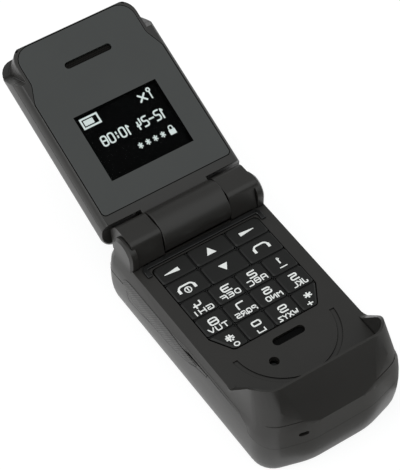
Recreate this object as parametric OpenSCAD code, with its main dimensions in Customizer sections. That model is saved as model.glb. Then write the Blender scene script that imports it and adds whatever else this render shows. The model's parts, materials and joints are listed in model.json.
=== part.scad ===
// Miniature folding mobile phone, lying on its back with the lid fully open.
// Millimetres. X runs across the phone, +Y from the chin to the hinge, +Z up.
// The origin is the middle of the flat back that the phone rests on.

/* [Base] */
// Width of the base at its widest
body_w = 26; // [25:0.1:28]
// Thickness of the base, back to keypad face
body_h = 10.2; // [10:0.1:12]
// Hinge axis to the end of the chin
chin_reach = 41.3; // [41:0.1:44]
// Hinge axis to the rear wall of the base
rear_reach = 3.2; // [3.1:0.05:3.4]
// How far the keypad face stands in from each side
face_inset = 0.9; // [0.5:0.1:1.2]
// Radius of the base's corners at the chin
chin_corner_r = 3.8; // [3.4:0.1:6]
// Radius of the base's corners behind the hinge
rear_corner_r = 2.5; // [2.2:0.1:2.6]
// How much the chin bows out in the middle
chin_crown = 2.4; // [1.4:0.1:2.6]
// Height of the rounded lower edge
edge_h = 4.6; // [3:0.1:4.8]
// How far the rounded lower edge draws in at the sides
edge_in = 1; // [0.8:0.1:1.6]
// How far the rounded lower edge draws in at the chin
chin_in = 0.4; // [0.3:0.1:1]
// Thickness of the front wall round the keypad
face_t = 1; // [0.8:0.1:1.2]
// Thickness of the side walls at the circuit board
side_t = 1.8; // [1.6:0.1:2]

/* [Chin] */
// End of the closed lid's tongue to the end of the chin
chin_depth = 5.2; // [5:0.1:5.6]
// Height of the thin rim over the keypad face
rim_h = 5.4; // [4:0.1:5.6]
// Thickness of the rim at its crest
rim_t = 0.35; // [0.3:0.05:0.6]
// Gap between the closed lid's tongue and the rim
tongue_gap = 0.2; // [0.2:0.05:0.4]
// Foot of the side arms to the end of the tongue
arm_back = 6.4; // [6:0.1:6.6]
// Length over which the side arms rise to the rim
arm_run = 4.6; // [4:0.1:5]
// How far the chin's end wall leans in
chin_draft = 0.5; // [0.3:0.05:0.8]
// Depth of the slanted facet's lower edge under the keypad face
facet_drop = 1; // [0.6:0.1:1.4]
// How far the chin's cheeks stand in from the end at half height
cheek_back = 2.3; // [2:0.1:2.8]
// How far the facet's top corners stand in from the tongue
facet_top_in = 0.75; // [0.5:0.05:1.2]
// How far the facet's low corners stand in from the tongue
facet_low_in = 1.8; // [1.4:0.05:2.6]

/* [Hinge] */
// Height of the hinge axis over the keypad face
hinge_lift = 1.6; // [1.5:0.05:1.8]
// Radius of the lid's barrel
barrel_r = 3.4; // [3.2:0.05:3.5]
// Length of the lid's barrel
barrel_w = 12; // [11:0.1:13]
// Gap between each end of the barrel and its ear
ear_gap = 0.15; // [0.1:0.05:0.3]
// How far each ear's cheek stands in from the side
cheek_in = 1.55; // [1.4:0.05:1.65]
// Angle between base and lid when fully open
lid_open = 158; // [120:1:165]
// Radius of the sprung hinge cartridge
cartridge_r = 1.9; // [1.7:0.05:2]
// Length of the sprung hinge cartridge
cartridge_len = 8.4; // [7:0.1:8.6]
// Radius of the cartridge's turning shaft
shaft_r = 0.9; // [0.8:0.05:1]
// Width of the shaft's square drive end
shaft_square = 2.4; // [2.2:0.1:2.5]
// Outer radius of the hollow pivot bush
bush_r = 1.9; // [1.7:0.05:2]
// Bore radius of the hollow pivot bush
bush_bore_r = 1.2; // [1.1:0.05:1.3]

/* [Lid] */
// How far the lid stands in from each side of the base
lid_inset = 0.3; // [0.2:0.05:0.5]
// Thickness of the lid
lid_t = 5.6; // [5.4:0.1:6]
// How far the lid's inner face stands past the axis
lid_lift = 0.6; // [0.5:0.05:0.8]
// How far the tongue stands in from each side of the lid
tongue_in = 1.65; // [1.55:0.05:1.95]
// Corner radius of the tongue
tongue_r = 2.9; // [2.5:0.1:3.1]
// Depth below the inner face at which the lid splits
lid_split = 1.4; // [1.2:0.05:1.6]
// Wall of the lid's two shells
lid_wall = 0.9; // [0.8:0.05:1.1]
// Thickness of the flat inner plate
plate_t = 0.7; // [0.6:0.05:0.8]
// Rim of the lid beside the flat inner plate
plate_rim = 1.05; // [1:0.05:1.3]
// Rim of the tongue beside the plate's narrow end
plate_tip_rim = 0.6; // [0.55:0.05:1]
// Hinge axis to the near edge of the plate
plate_start = 5.6; // [5.4:0.1:6]
// Rim of the lid past the far edge of the plate
plate_end_rim = 0.65; // [0.6:0.05:1.2]

/* [Display and earpiece] */
// Width of the display window
window_w = 14.9; // [14:0.1:15.5]
// Height of the display window
window_h = 11.6; // [11:0.1:12]
// Hinge axis to the window's near edge
window_start = 10.1; // [9.8:0.1:11]
// Length of the earpiece slot
slot_w = 8.4; // [7:0.1:9]
// Width of the earpiece slot
slot_h = 1.15; // [0.8:0.05:1.3]
// Earpiece slot to the end of the lid
slot_back = 6.3; // [6:0.1:6.6]

/* [Keypad] */
// Keypad opening to each side of the base
keypad_in = 3.25; // [3:0.05:3.5]
// Hinge axis to the keypad's near edge
keypad_start = 4.8; // [4.7:0.1:5]
// Height of the soft key row
soft_row = 3.7; // [3.4:0.1:4]
// Height of the call key row
call_row = 4; // [3.8:0.1:4.2]
// Height of each of the three number rows
number_row = 3.88; // [3.7:0.02:4]
// Width of the two middle navigation keys
middle_w = 7; // [6.6:0.1:7.6]
// Gap between neighbouring keys
key_gap = 0.24; // [0.2:0.02:0.3]
// How far the keys stand over the casing
key_rise = 0.25; // [0.2:0.05:0.35]
// Thickness of each key cap
key_t = 1.15; // [1:0.05:1.2]
// Width of the sloped edge round each key
key_bevel = 0.18; // [0.1:0.02:0.22]
// Distance that a key travels when pressed
key_travel = 0.25; // [0.2:0.05:0.25]
// Radius of the post under each key
post_r = 0.7; // [0.6:0.05:0.8]
// Cut of the keypad's two lower corners, across
corner_cut_x = 2.2; // [1.5:0.1:2.6]
// Cut of the keypad's two lower corners, along
corner_cut_y = 3.6; // [3:0.1:3.8]

/* [Face details] */
// Length of the microphone recess
mic_w = 5.6; // [5:0.1:6]
// Width of the microphone recess
mic_h = 1.5; // [1.2:0.1:1.6]
// Microphone recess: across from the middle
mic_x = 0.6; // [-0.5:0.1:1]
// Microphone recess: distance past the keypad
mic_past = 2.16; // [2:0.02:2.4]
// Radius of the reset hole
reset_r = 0.8; // [0.6:0.05:0.9]
// Reset hole: across from the middle
reset_x = -3.9; // [-4.5:0.1:-3]
// Reset hole: distance past the keypad
reset_past = 4.86; // [4.7:0.02:5.2]
// How far the shallow finger groove stands in from the tongue
groove_in = 1.9; // [1.8:0.05:2.2]
// Width of the shallow finger groove
groove_w = 0.85; // [0.5:0.05:1]
// Depth of the shallow finger groove
groove_d = 0.15; // [0.1:0.05:0.3]

/* [Inside] */
// Thickness of the main circuit board
board_t = 0.8; // [0.6:0.1:0.8]
// Depth of the main board's top under the keypad face
board_drop = 2.55; // [2.5:0.05:2.7]
// Height of the parts under the main board
parts_t = 1.35; // [1.2:0.05:1.35]
// Thickness of the wall between board and battery
partition_t = 0.75; // [0.6:0.05:0.8]
// Thickness of the battery
battery_t = 3.4; // [3:0.1:3.45]
// Battery to each side of the base
battery_in = 3.4; // [3.3:0.1:4]
// Length of the battery
battery_len = 24; // [22:0.1:24.2]
// Thickness of the battery cover
cover_t = 0.95; // [0.8:0.05:1]
// How far the battery cover reaches past the battery
cover_lap = 0.3; // [0.25:0.05:0.5]
// Running gap between loose fitting pieces
fit = 0.05; // [0.03:0.01:0.08]

/* [Hidden] */
SEG = 6;
CURVE = 48;
THIN = 0.01;

KEYS = ["key_soft_left", "key_up", "key_soft_right",
        "key_end", "key_down", "key_call",
        "key_4", "key_3", "key_2", "key_1",
        "key_8", "key_7", "key_6", "key_5",
        "key_hash", "key_0", "key_9", "key_star"];

// Colours
ABS = "#474846";
ABS_SHADE = "#3a3a38";
KEY_BLACK = "#262624";
GLASS_BLACK = "#050505";
STEEL = "#b9bcbe";
BOARD_GREEN = "#1f5a3a";
GOLD = "#c9a24a";
FLEX_AMBER = "#9a5a1c";

// Frame: the hinge axis lies over the rear of the flat back.
hinge_y = (chin_reach - rear_reach) / 2;
lid_tilt = 180 - lid_open;
half_w = body_w / 2;
edge_z = -(body_h - edge_h);
lid_w = body_w - 2 * lid_inset;
lid_reach = chin_reach - chin_depth;
arm_start = lid_reach - arm_back;
tongue_w = lid_w - 2 * tongue_in;
plate_w = lid_w - 2 * plate_rim;
plate_tip_w = tongue_w - 2 * plate_tip_rim;
plate_end = lid_reach - plate_end_rim;
slot_y = lid_reach - slot_back;
keypad_w = body_w - 2 * keypad_in;
battery_w = body_w - 2 * battery_in;
cover_w = battery_w + 2 * cover_lap;
ear_reach = half_w - cheek_in;
groove_r = tongue_w / 2 - groove_in;
tip_reach = lid_reach + tongue_gap;
crest_reach = tip_reach + rim_t;
crest_half = tongue_w / 2 + tongue_gap + rim_t;
chin_slope = chin_draft / -edge_z;
barrel_gap = 0.2;
trough_r = barrel_r + barrel_gap;
ear_in = barrel_w / 2 + ear_gap;
lid_clear_r = trough_r + 0.45;

// Heights in the base, from the keypad face down.
board_top = -board_drop;
board_low = board_top - board_t;
part_top = board_low - 0.03;
part_low = board_low - parts_t;
shelf_z = part_low - 0.1;
bay_top = shelf_z - partition_t;
back_z = -body_h;
cover_top = back_z + cover_t;
bay_half = battery_w / 2 + 0.2;
bay_start = 6.2;
bay_end = bay_start + battery_len + 0.7;
board_half = half_w - side_t - 0.35;
cavity_half = half_w - side_t;
board_start = keypad_start + 0.3;
board_end = tip_reach + 0.2;
cover_start = edge_in - rear_reach + 1.6;
cover_end = board_end - 0.2;
row_start = [for (i = [0:5]) -(keypad_start
    + (i > 0 ? soft_row : 0) + (i > 1 ? call_row : 0) + (i > 2 ? (i - 2) * number_row : 0))];
keypad_end = -row_start[5];
mic_y = keypad_end + mic_past;
reset_y = keypad_end + reset_past;
mat_top = -face_t - 0.05;
mat_plate_top = key_rise - key_t - key_travel - 0.1;
mat_plate_t = 0.45;
dome_h = 0.22;
post_low = board_top + dome_h + 0.03 + key_travel;
screw_low = cover_top + 1;
screw_head_t = 0.7;
screw_seat = screw_low + screw_head_t;
screw_r = 0.65;
screw_len = 5.4;
boss_r = 1.5;
chin_screw_x = tongue_w / 2 - 2.65;
chin_screws = [for (s = [-1, 1]) [s * chin_screw_x, 1.9 - tip_reach]];
screw_places = concat([for (s = [-1, 1]) [s * (half_w - 3.7), -1]], chin_screws);
magnet_x = 4.8 - half_w;
magnet_y = lid_reach - 8.1;
motor_floor = cover_top + 1.1;
tab_len = 0.7;
grip_in = 0.85;
mat_half = keypad_w / 2 + 0.42;
port_y = -(arm_start - 0.9);
port_w = 7.4;
port_top = board_top + 0.35;
port_t = 2.45;
window_end = window_start + window_h;

// Depths in the lid, measured along its own normal.
lid_back = lid_lift - lid_t;
split_n = lid_lift - lid_split;
plate_low = lid_lift - plate_t;
module_t = 1.3;
module_top = plate_low - 0.05;
module_half = window_w / 2 + 1.15;
lid_board_top = module_top - module_t - 0.05;
lid_board_t = 0.6;
lid_board_low = lid_board_top - lid_board_t;
lid_half = lid_w / 2;
lid_start = 2.4;
lid_screw_places = concat([for (s = [-1, 1]) [s * (lid_half - 3.05), 8.5]],
    [for (s = [-1, 1]) [s * (tongue_w / 2 - 2.95), lid_reach - 3.7]]);
lid_screw_r = 0.5;
lid_head_r = 0.9;
lid_board_start = window_start - 0.2;
web_end = plate_start - 0.4;
bush_start = barrel_w / 2 - 1.6;
flex_start = cartridge_len - barrel_w / 2 + 0.4;

// ---- Outlines ------------------------------------------------------------

function unit(v) = v / norm(v);
function arc_at(c, r, a0, turn, n) = [for (i = [0:n]) c + r * [cos(a0 + turn * i / n), sin(a0 + turn * i / n)]];
function corner(a, b, c, r, n) =
    let (u = unit(a - b), v = unit(c - b), h = acos(u * v) / 2,
         m = b + unit(u + v) * r / sin(h),
         s = b + u * r / tan(h) - m, e = b + v * r / tan(h) - m,
         a0 = atan2(s.y, s.x), t = atan2(e.y, e.x) - a0)
    arc_at(m, r, a0, t > 180 ? t - 360 : t < -180 ? t + 360 : t, n);
// Each point is [x, y, corner radius].
function rounded(p, n = SEG) =
    let (k = len(p))
    [for (i = [0:k - 1])
        let (a = p[(i + k - 1) % k], b = p[i], c = p[(i + 1) % k])
        each (b.z > 0 ? corner([a.x, a.y], [b.x, b.y], [c.x, c.y], b.z, n) : [[b.x, b.y]])];

function box_outline(x0, x1, y0, y1, r) =
    rounded([[x0, y0, r], [x1, y0, r], [x1, y1, r], [x0, y1, r]]);

// Plan of the base, drawn in by side at the sides, end at the chin and rear at the back.
function base_outline(side, end, rear) =
    let (w = half_w - side, y0 = -(chin_reach - end), y1 = rear_reach - rear,
         r = max(chin_corner_r - side * 0.5, 1), q = rear_corner_r)
    rounded([[w, y1, q], [-w, y1, q], [-w, y0 + chin_crown, r], [-w * 0.42, y0 + chin_crown * 0.12, 12],
             [w * 0.42, y0 + chin_crown * 0.12, 12], [w, y0 + chin_crown, r]]);

// Plan of the lid, drawn in by inset at the sides and by end at the far end.
function lid_outline(inset, end) =
    rounded([[lid_half - inset, lid_start, 1.2], [lid_half - inset, lid_reach - end, 2.7],
             [-lid_half + inset, lid_reach - end, 2.7], [-lid_half + inset, lid_start, 1.2]]);

// Plan of the tongue, grown by g.
function tongue_outline(g) =
    let (w = tongue_w / 2 + g, e = lid_reach + g)
    rounded([[w, arm_start - 4, 0], [w, e, tongue_r + g], [-w, e, tongue_r + g], [-w, arm_start - 4, 0]], 10);

// Plan of the flat inner plate, grown by g.
function plate_outline(g) =
    let (w = plate_w / 2 + g, t = plate_tip_w / 2 + g, s = plate_start - g, e = plate_end + g,
         k = plate_end - 9.1)
    rounded([[w, s, 0.7], [w, k, 2.4], [t, k + 3, 2.4], [t, e, 2.6 + g],
             [-t, e, 2.6 + g], [-t, k + 3, 2.4], [-w, k, 2.4], [-w, s, 0.7]]);

// Opening for the keys, drawn in by g.
function keypad_outline(g) =
    let (w = keypad_w / 2 - g, y0 = -keypad_start - g, y1 = -keypad_end + g, cx = corner_cut_x, cy = corner_cut_y)
    rounded([[w, y0, 0.8], [-w, y0, 0.8], [-w, y1 + cy, 0.6], [-w + cx, y1, 0.8],
             [w - cx, y1, 0.8], [w, y1 + cy, 0.6]]);

// ---- Placing -------------------------------------------------------------

module at_base() translate([0, hinge_y, body_h]) children();
module at_lid() translate([0, hinge_y, body_h + hinge_lift]) rotate([lid_tilt, 0, 0]) children();
module slab(z, points) translate([0, 0, z]) linear_extrude(THIN) polygon(points);
module block(x0, x1, y0, y1, z0, z1) translate([x0, y0, z0]) cube([x1 - x0, y1 - y0, z1 - z0]);
module across(x0, x1, points)
    translate([x0, 0, 0]) rotate([90, 0, 90]) linear_extrude(x1 - x0) polygon(points);
module rod_across(x0, x1, r) translate([x0, 0, 0]) rotate([0, 90, 0]) cylinder(h = x1 - x0, r = r, $fn = CURVE);
module both_sides() { children(); mirror([1, 0, 0]) children(); }

// ---- Base form -----------------------------------------------------------

// The tub: flat face, sides that swell out and a rounded lower edge.
module base_tub() {
    hull() {
        slab(-THIN, base_outline(face_inset, chin_draft, 0.2));
        slab(edge_z * 0.3, base_outline(face_inset * 0.22, chin_draft * 0.7, 0));
        slab(edge_z * 0.62, base_outline(0, chin_draft * 0.38, 0));
        for (a = [0:18:90])
            slab(edge_z - edge_h * sin(a) + (a == 90 ? 0 : THIN),
                base_outline(edge_in * (1 - cos(a)), chin_in * (1 - cos(a)), edge_in * (1 - cos(a))));
    }
}

// The chin that wraps the tongue, from just under the face up to the crest of the rim.
module chin_form() {
    low = -facet_drop;
    mid = rim_h * 0.45;
    start = -arm_start + 1.5;
    crest_r = tongue_r + tongue_gap + rim_t;
    mid_half = half_w - face_inset * 1.1;
    mid_end = -chin_reach + cheek_back;
    foot = half_w - face_inset;
    hull() {
        slab(rim_h - THIN, rounded([[crest_half, start - 3, 0], [-crest_half, start - 3, 0],
            [-crest_half, -crest_reach, crest_r], [crest_half, -crest_reach, crest_r]], 10));
        slab(mid, rounded([[crest_half, start, 0], [-crest_half, start, 0], [-mid_half, start - 3.5, 3],
            [-mid_half, mid_end, crest_r + 1.3], [mid_half, mid_end, crest_r + 1.3], [mid_half, start - 3.5, 3]]));
        translate([0, 0, low]) linear_extrude(THIN) intersection() {
            polygon(base_outline(face_inset * 0.62, chin_draft - chin_slope * facet_drop, 0));
            polygon([[foot, start], [half_w, start - 3.5], [half_w, -chin_reach],
                     [-half_w, -chin_reach], [-half_w, start - 3.5], [-foot, start]]);
        }
    }
}

// The slanted facet across the front of the chin: it runs straight along the crest and bows
// out to the end wall below, between two flared cheeks.
module chin_facet() {
    foot = base_outline(face_inset * 0.62, chin_draft - chin_slope * facet_drop, 0);
    top = tongue_w / 2 - facet_top_in;
    low = tongue_w / 2 - facet_low_in;
    wide = body_w;
    difference() {
        hull() {
            slab(rim_h + 0.5, [[-top, 1 - crest_reach], [top, 1 - crest_reach],
                               [top + 5, -chin_reach - 1], [-top - 5, -chin_reach - 1]]);
            slab(-facet_drop, [[-low, 1 - chin_reach], [low, 1 - chin_reach],
                               [low + 3, -chin_reach - 1], [-low - 3, -chin_reach - 1]]);
        }
        hull() {
            slab(rim_h, [[-wide, -crest_reach], [wide, -crest_reach], [wide, 0], [-wide, 0]]);
            slab(-facet_drop - THIN, concat(foot, [[wide, -crest_reach + 3], [-wide, -crest_reach + 3]]));
        }
        translate([0, 0, rim_h]) linear_extrude(1) translate([-wide, -crest_reach]) square([2 * wide, 9]);
    }
}

// Everything over the slope of the two side arms.
module over_arms() {
    top = rim_h + 1;
    across(-half_w - 1, half_w + 1, rounded([[rear_reach + 1, 0, 0], [-arm_start, 0, 1.5],
        [-arm_start - arm_run, rim_h, 4.5], [-chin_reach, rim_h, 0], [-chin_reach, top, 0],
        [rear_reach + 1, top, 0]]));
}

// The split between the two casings rises from the rear, runs level and drops round the chin.
split_line = [[rear_reach + 1, -3.95], [-3.2, -3.7], [-7, -2.8], [-12, -2], [-19, -1.2], [-32.6, -1.2],
    [-35, -2.25], [-35.4, -3.1], [-37.8, -3.8], [-39.6, -4.5], [-chin_reach - 1, -4.6]];
module over_split() across(-half_w - 1, half_w + 1,
    concat(split_line, [[-chin_reach - 1, rim_h + 1], [rear_reach + 1, rim_h + 1]]));
module under_split() across(-half_w - 1, half_w + 1,
    concat(split_line, [[-chin_reach - 1, back_z - 1], [rear_reach + 1, back_z - 1]]));

// Knuckle profile: nearly flat on top, sloping down to the keypad face.
function ear_profile() = rounded([
    [-3.55, -1.2, 0], [-3.45, 0.2, 0], [-2.35, hinge_lift + 3.05, 1], [2.2, hinge_lift + 2.85, 1.4],
    [3.6, hinge_lift + 0.9, 1.2], [3, -1.2, 0]]);
// Cheek that closes the outer end of each ear.
function cheek_profile(g) = rounded([
    [-3.55 + g, -2.4, 0], [-3.55 + g, hinge_lift + 2.55 - g, 2.3], [1.7 - g, hinge_lift + 2.55 - g, 2.3],
    [1.7 - g, -2.4, 0]]);

module ears() {
    both_sides() {
        across(ear_in, ear_reach, ear_profile());
        hull() {
            across(ear_reach - 0.5, ear_reach + 0.5, cheek_profile(0));
            across(ear_reach + 0.5, ear_reach + 0.85, cheek_profile(0.35));
        }
    }
}

// ---- Base pieces ---------------------------------------------------------

// Front casing: keypad face, hinge ears and the rimmed chin, moulded in one.
module front_casing() color(ABS) at_base() difference() {
    union() {
        difference() {
            union() {
                intersection() { base_tub(); over_split(); }
                difference() { chin_form(); over_arms(); }
                ears();
            }
            front_hollow();
        }
        // Bosses for the two screws at the chin
        for (p = chin_screws) translate([p.x, p.y, board_low + 0.03])
            cylinder(h = -face_t - board_low, r = boss_r, $fn = CURVE);
    }
    // Pocket for the closed lid's tongue
    mirror([0, 1, 0]) linear_extrude(rim_h + 1) polygon(tongue_outline(tongue_gap));
    chin_facet();
    // Trough for the lid's barrel, open at the rear
    translate([0, 0, hinge_lift]) rod_across(-ear_in, ear_in, trough_r);
    block(-ear_in, ear_in, 0, rear_reach + 1, -1.6, rim_h);
    translate([0, 0, -face_t - 1]) linear_extrude(face_t + 2) polygon(keypad_outline(0));
    face_details();
    hinge_bores();
    flex_channel();
    for (p = screw_places) translate([p.x, p.y, back_z])
        cylinder(h = screw_seat - back_z + screw_len + 0.2, r = screw_r + 0.02, $fn = CURVE);
}

// Room under the keypad face for mat, board, socket and motor.
module front_hollow() {
    inner = -keypad_start + 0.1;
    block(-mat_half - 0.13, mat_half + 0.13, -board_end, inner, board_top - 1, -face_t);
    block(-cavity_half, cavity_half, -board_end, inner, back_z, board_top + 0.05);
    block(-ear_in, ear_in, -keypad_start, rear_reach - 1, back_z, hinge_lift - trough_r - 0.9);
    block(board_half - 4.2, cavity_half, port_y - port_w / 2 - 0.2, port_y + port_w / 2 + 0.2, back_z, port_top + 0.1);
}

module face_details() {
    // Recess and hole in front of the microphone
    translate([mic_x, -mic_y, -0.6]) linear_extrude(1) hull_slot(mic_w, mic_h);
    translate([mic_x, -mic_y, -face_t - 1]) cylinder(h = 2, r = 0.3, $fn = CURVE);
    translate([reset_x, -reset_y, -face_t - 1]) cylinder(h = 3, r = reset_r, $fn = CURVE);
    // Shallow curved groove for the finger tip
    intersection() {
        translate([0, -groove_centre(), -groove_d]) difference() {
            cylinder(h = 1, r = groove_r, $fn = 96);
            translate([0, 0, -1]) cylinder(h = 3, r = groove_r - groove_w, $fn = 96);
        }
        block(-half_w, half_w, -tip_reach, -groove_centre() - 0.6, -1, 1);
    }
    // Oval hole under the chin facet
    translate([-6.6, -chin_reach + 2.4, -2.6]) rotate([90, 0, 0])
        linear_extrude(3) hull_slot(1.6, 0.75);
}
function groove_centre() = tip_reach - groove_r - 1.95;

// A slot with round ends, w long over all.
module hull_slot(w, h) {
    square([w - h, h], center = true);
    for (s = [-1, 1]) translate([s * (w - h) / 2, 0]) circle(d = h, $fn = CURVE);
}

// Square socket for the shaft on the left, round bore for the bush on the right.
module hinge_bores() translate([0, 0, hinge_lift]) {
    block(-ear_in - 2.7, -ear_in + 0.5, -shaft_square / 2 - fit, shaft_square / 2 + fit,
        -shaft_square / 2 - fit, shaft_square / 2 + fit);
    rod_across(ear_in - 0.5, ear_in + 4.1, bush_r + fit);
    rod_across(ear_in - 0.5, ear_in + 4.95, bush_bore_r);
}

flex_in = ear_in + 4.25;
flex_out = flex_in + 0.75;
// Channel that takes the flexible circuit from the right ear down to the board.
module flex_channel() {
    block(flex_in - 0.1, flex_out + 0.05, -1.15, 1.15, board_top - 2, hinge_lift + 1.15);
    block(flex_in - 0.1, flex_out + 0.05, -keypad_start - 2.2, 1.15, board_top - 0.9, board_top + 0.45);
}

// Rear casing: the tub under the split, with board shelf, battery bay and screw wells.
module rear_casing() color(ABS) at_base() difference() {
    intersection() { base_tub(); under_split(); }
    inner = -keypad_start + 0.1;
    block(-cavity_half, cavity_half, -board_end, inner, board_low, 1);
    difference() {
        block(-cavity_half + 0.75, cavity_half - 0.75, -board_end, inner, shelf_z, 1);
        for (p = chin_screws) translate([p.x, p.y, shelf_z - 1])
            cylinder(h = board_low - shelf_z + 1, r = boss_r, $fn = CURVE);
    }
    // Motor room under the hinge trough
    block(-ear_in, ear_in, inner + 0.3, rear_reach - 1, motor_floor, 1);
    block(-ear_in, ear_in, inner - 0.5, rear_reach - 1, board_low, 1);
    flex_channel();
    // Battery bay, the recess for its cover and the slots for the cover's tabs
    block(-bay_half, bay_half, -bay_end, -bay_start, back_z - 1, bay_top);
    translate([0, 0, back_z - 1]) linear_extrude(1 + cover_t + 0.05) polygon(cover_outline(fit));
    both_sides() block(4.4 - fit, 6.4 + fit, -cover_start - 1, -cover_start + tab_len + 0.1, back_z + 0.25, cover_top + 0.05);
    // Windows in the partition for the card holder and the battery contacts
    block(-7.3, 7.3, -25.6, -13.8, bay_top - 1, 1);
    block(-3.8, 3.8, -bay_end - 2.4, -bay_end + 0.6, cover_top + 1.1, 1);
    block(-6.5, 6.5, -board_end - 2.3, -bay_end - 2.9, cover_top + 0.7, shelf_z + 1);
    for (p = screw_places) translate([p.x, p.y, back_z]) {
        cylinder(h = screw_seat - back_z, r = 1.35, $fn = CURVE);
        cylinder(h = body_h, r = screw_r + 0.1, $fn = CURVE);
    }
    // Opening for the charging plug on the right side
    block(cavity_half - 1, half_w + 1, port_y - port_w / 2 - 0.2, port_y + port_w / 2 + 0.2,
        port_top - port_t - 0.1, port_top + 0.1);
    both_sides() across(half_w - grip_in, half_w + 1, grip_outline(fit));
}

function cover_outline(g) = box_outline(-cover_w / 2 - g, cover_w / 2 + g, -cover_end - g, -cover_start + g, 1.6);

// Side view of each knurled grip: deep near the hinge, fading to a point.
function grip_outline(g) = rounded([
    [-2.9 + g, -4.15 + g, 0.2], [-3.7 + g, -6.1 - g, 0.4], [-7, -5.75 - g, 2], [-24.6 - g, -2.1 - g, 0.1],
    [-24.6 - g, -1.75 + g, 0.1], [-12, -2.6 + g, 2]], 4);
module side_grip() intersection() {
    base_tub();
    across(half_w - grip_in + fit, half_w + 1, grip_outline(0));
}
module left_grip() color(ABS_SHADE) at_base() mirror([1, 0, 0]) side_grip();
module right_grip() color(ABS_SHADE) at_base() side_grip();

// Battery cover: a flat door with two tabs at the rear and a nail recess at the chin.
module battery_cover() color(ABS) at_base() difference() {
    union() {
        translate([0, 0, back_z]) linear_extrude(cover_t) polygon(cover_outline(0));
        both_sides() block(4.4, 6.4, -cover_start - 0.5, -cover_start + tab_len, back_z + 0.3, cover_top);
    }
    translate([0, -cover_end + 2.2, back_z - 0.2]) linear_extrude(0.5) hull_slot(6, 1.5);
}

module battery() color("#5a6a86") at_base()
    translate([0, -bay_start - 0.25 - battery_len / 2, bay_top - 0.05 - battery_t])
        linear_extrude(battery_t) polygon(box_outline(-battery_w / 2, battery_w / 2,
            -battery_len / 2, battery_len / 2, 1));

// Contact block with three sprung fingers that press on the end of the battery.
module battery_connector() color(KEY_BLACK) at_base() {
    y0 = -bay_end;
    difference() {
        block(-3.6, 3.6, y0 - 2.2, y0 - 0.1, cover_top + 1.3, part_top);
        for (x = [-2.2, 0, 2.2]) block(x - 0.55, x + 0.55, y0 - 1.2, y0 + 1, cover_top + 1.8, bay_top - 0.4);
    }
    for (x = [-2.2, 0, 2.2]) across(x - 0.3, x + 0.3, [
        [y0 - 1.2, cover_top + 2], [y0 - 1.2, bay_top - 0.6], [y0 + 0.35, bay_top - 1.3], [y0 + 0.35, bay_top - 1.7]]);
}

module main_board() color(BOARD_GREEN) at_base() difference() {
    translate([0, 0, board_low]) linear_extrude(board_t)
        polygon(box_outline(-board_half, board_half, -board_end + 0.2, -board_start, 0.8));
    block(board_half - 4.1, board_half + 1, port_y - port_w / 2 - 0.15, port_y + port_w / 2 + 0.15, board_low - 1, 1);
    for (p = chin_screws) translate([p.x, p.y, board_low - 1])
        cylinder(h = board_t + 2, r = boss_r + 0.2, $fn = CURVE);
}

module shield_can() color(STEEL) at_base() {
    block(1.85 - board_half, board_half - 1.85, -board_start - 7.8, -board_start - 0.8, part_top - 1.2, part_top);
}

// Metal cage for the card, under the board and seen through the partition.
module sim_holder() color(STEEL) at_base() difference() {
    block(-7, 7, -25.3, -14.1, part_top - 1.3, part_top);
    block(-6.6, 6.6, -26, -14.6, part_top - 1, part_top - 0.25);
    block(-3, 3, -24, -18, part_top - 2, part_top - 0.5);
}

// Snap domes on the board, one under each key.
module key_domes() color(STEEL) at_base()
    for (k = KEYS) let (c = key_centre(k)) translate([c.x, c.y, board_top + 0.02])
        cylinder(h = dome_h, r1 = 1.5, r2 = 0.9, $fn = CURVE);

// Rubber mat between keys and board, open round each post.
module key_mat() color("#5b5b58") at_base() difference() {
    union() {
        translate([0, 0, mat_plate_top - mat_plate_t]) linear_extrude(mat_plate_t)
            polygon(box_outline(-mat_half, mat_half, -keypad_end - 0.5, -keypad_start - 0.1, 0.8));
        translate([0, 0, board_top + 0.03]) linear_extrude(mat_top - board_top - 0.03)
            difference() {
                polygon(box_outline(-mat_half, mat_half, -keypad_end - 0.5, -keypad_start - 0.1, 0.8));
                polygon(box_outline(-mat_half + 0.35, mat_half - 0.35, -keypad_end - 0.2, -keypad_start + 1, 0.6));
            }
    }
    for (k = KEYS) let (c = key_centre(k)) translate([c.x, c.y, board_top])
        cylinder(h = 2, r = post_r + 0.12, $fn = CURVE);
}

module microphone() color(GOLD) at_base() translate([mic_x, -mic_y, board_top + 0.02])
    cylinder(h = -face_t - board_top - 0.3, r = 1.2, $fn = CURVE);

module reset_switch() color(STEEL) at_base() difference() {
    translate([reset_x, -reset_y, 0]) block(-1.3, 1.3, -1.3, 1.3, board_top + 0.02, board_top + 0.8);
    translate([reset_x, -reset_y, board_top + 0.2]) cylinder(h = 1, r = 0.55, $fn = CURVE);
}
// Press stem of the reset switch, reached with a pin through the hole.
module reset_plunger() color(KEY_BLACK) at_base()
    translate([reset_x, -reset_y, board_top + 0.5]) cylinder(h = 0.85, r = 0.5, $fn = CURVE);

module hall_sensor() color(KEY_BLACK) at_base() translate([magnet_x, -magnet_y, 0])
    block(-0.8, 0.8, -0.5, 0.5, board_top + 0.02, board_top + 0.6);

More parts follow.
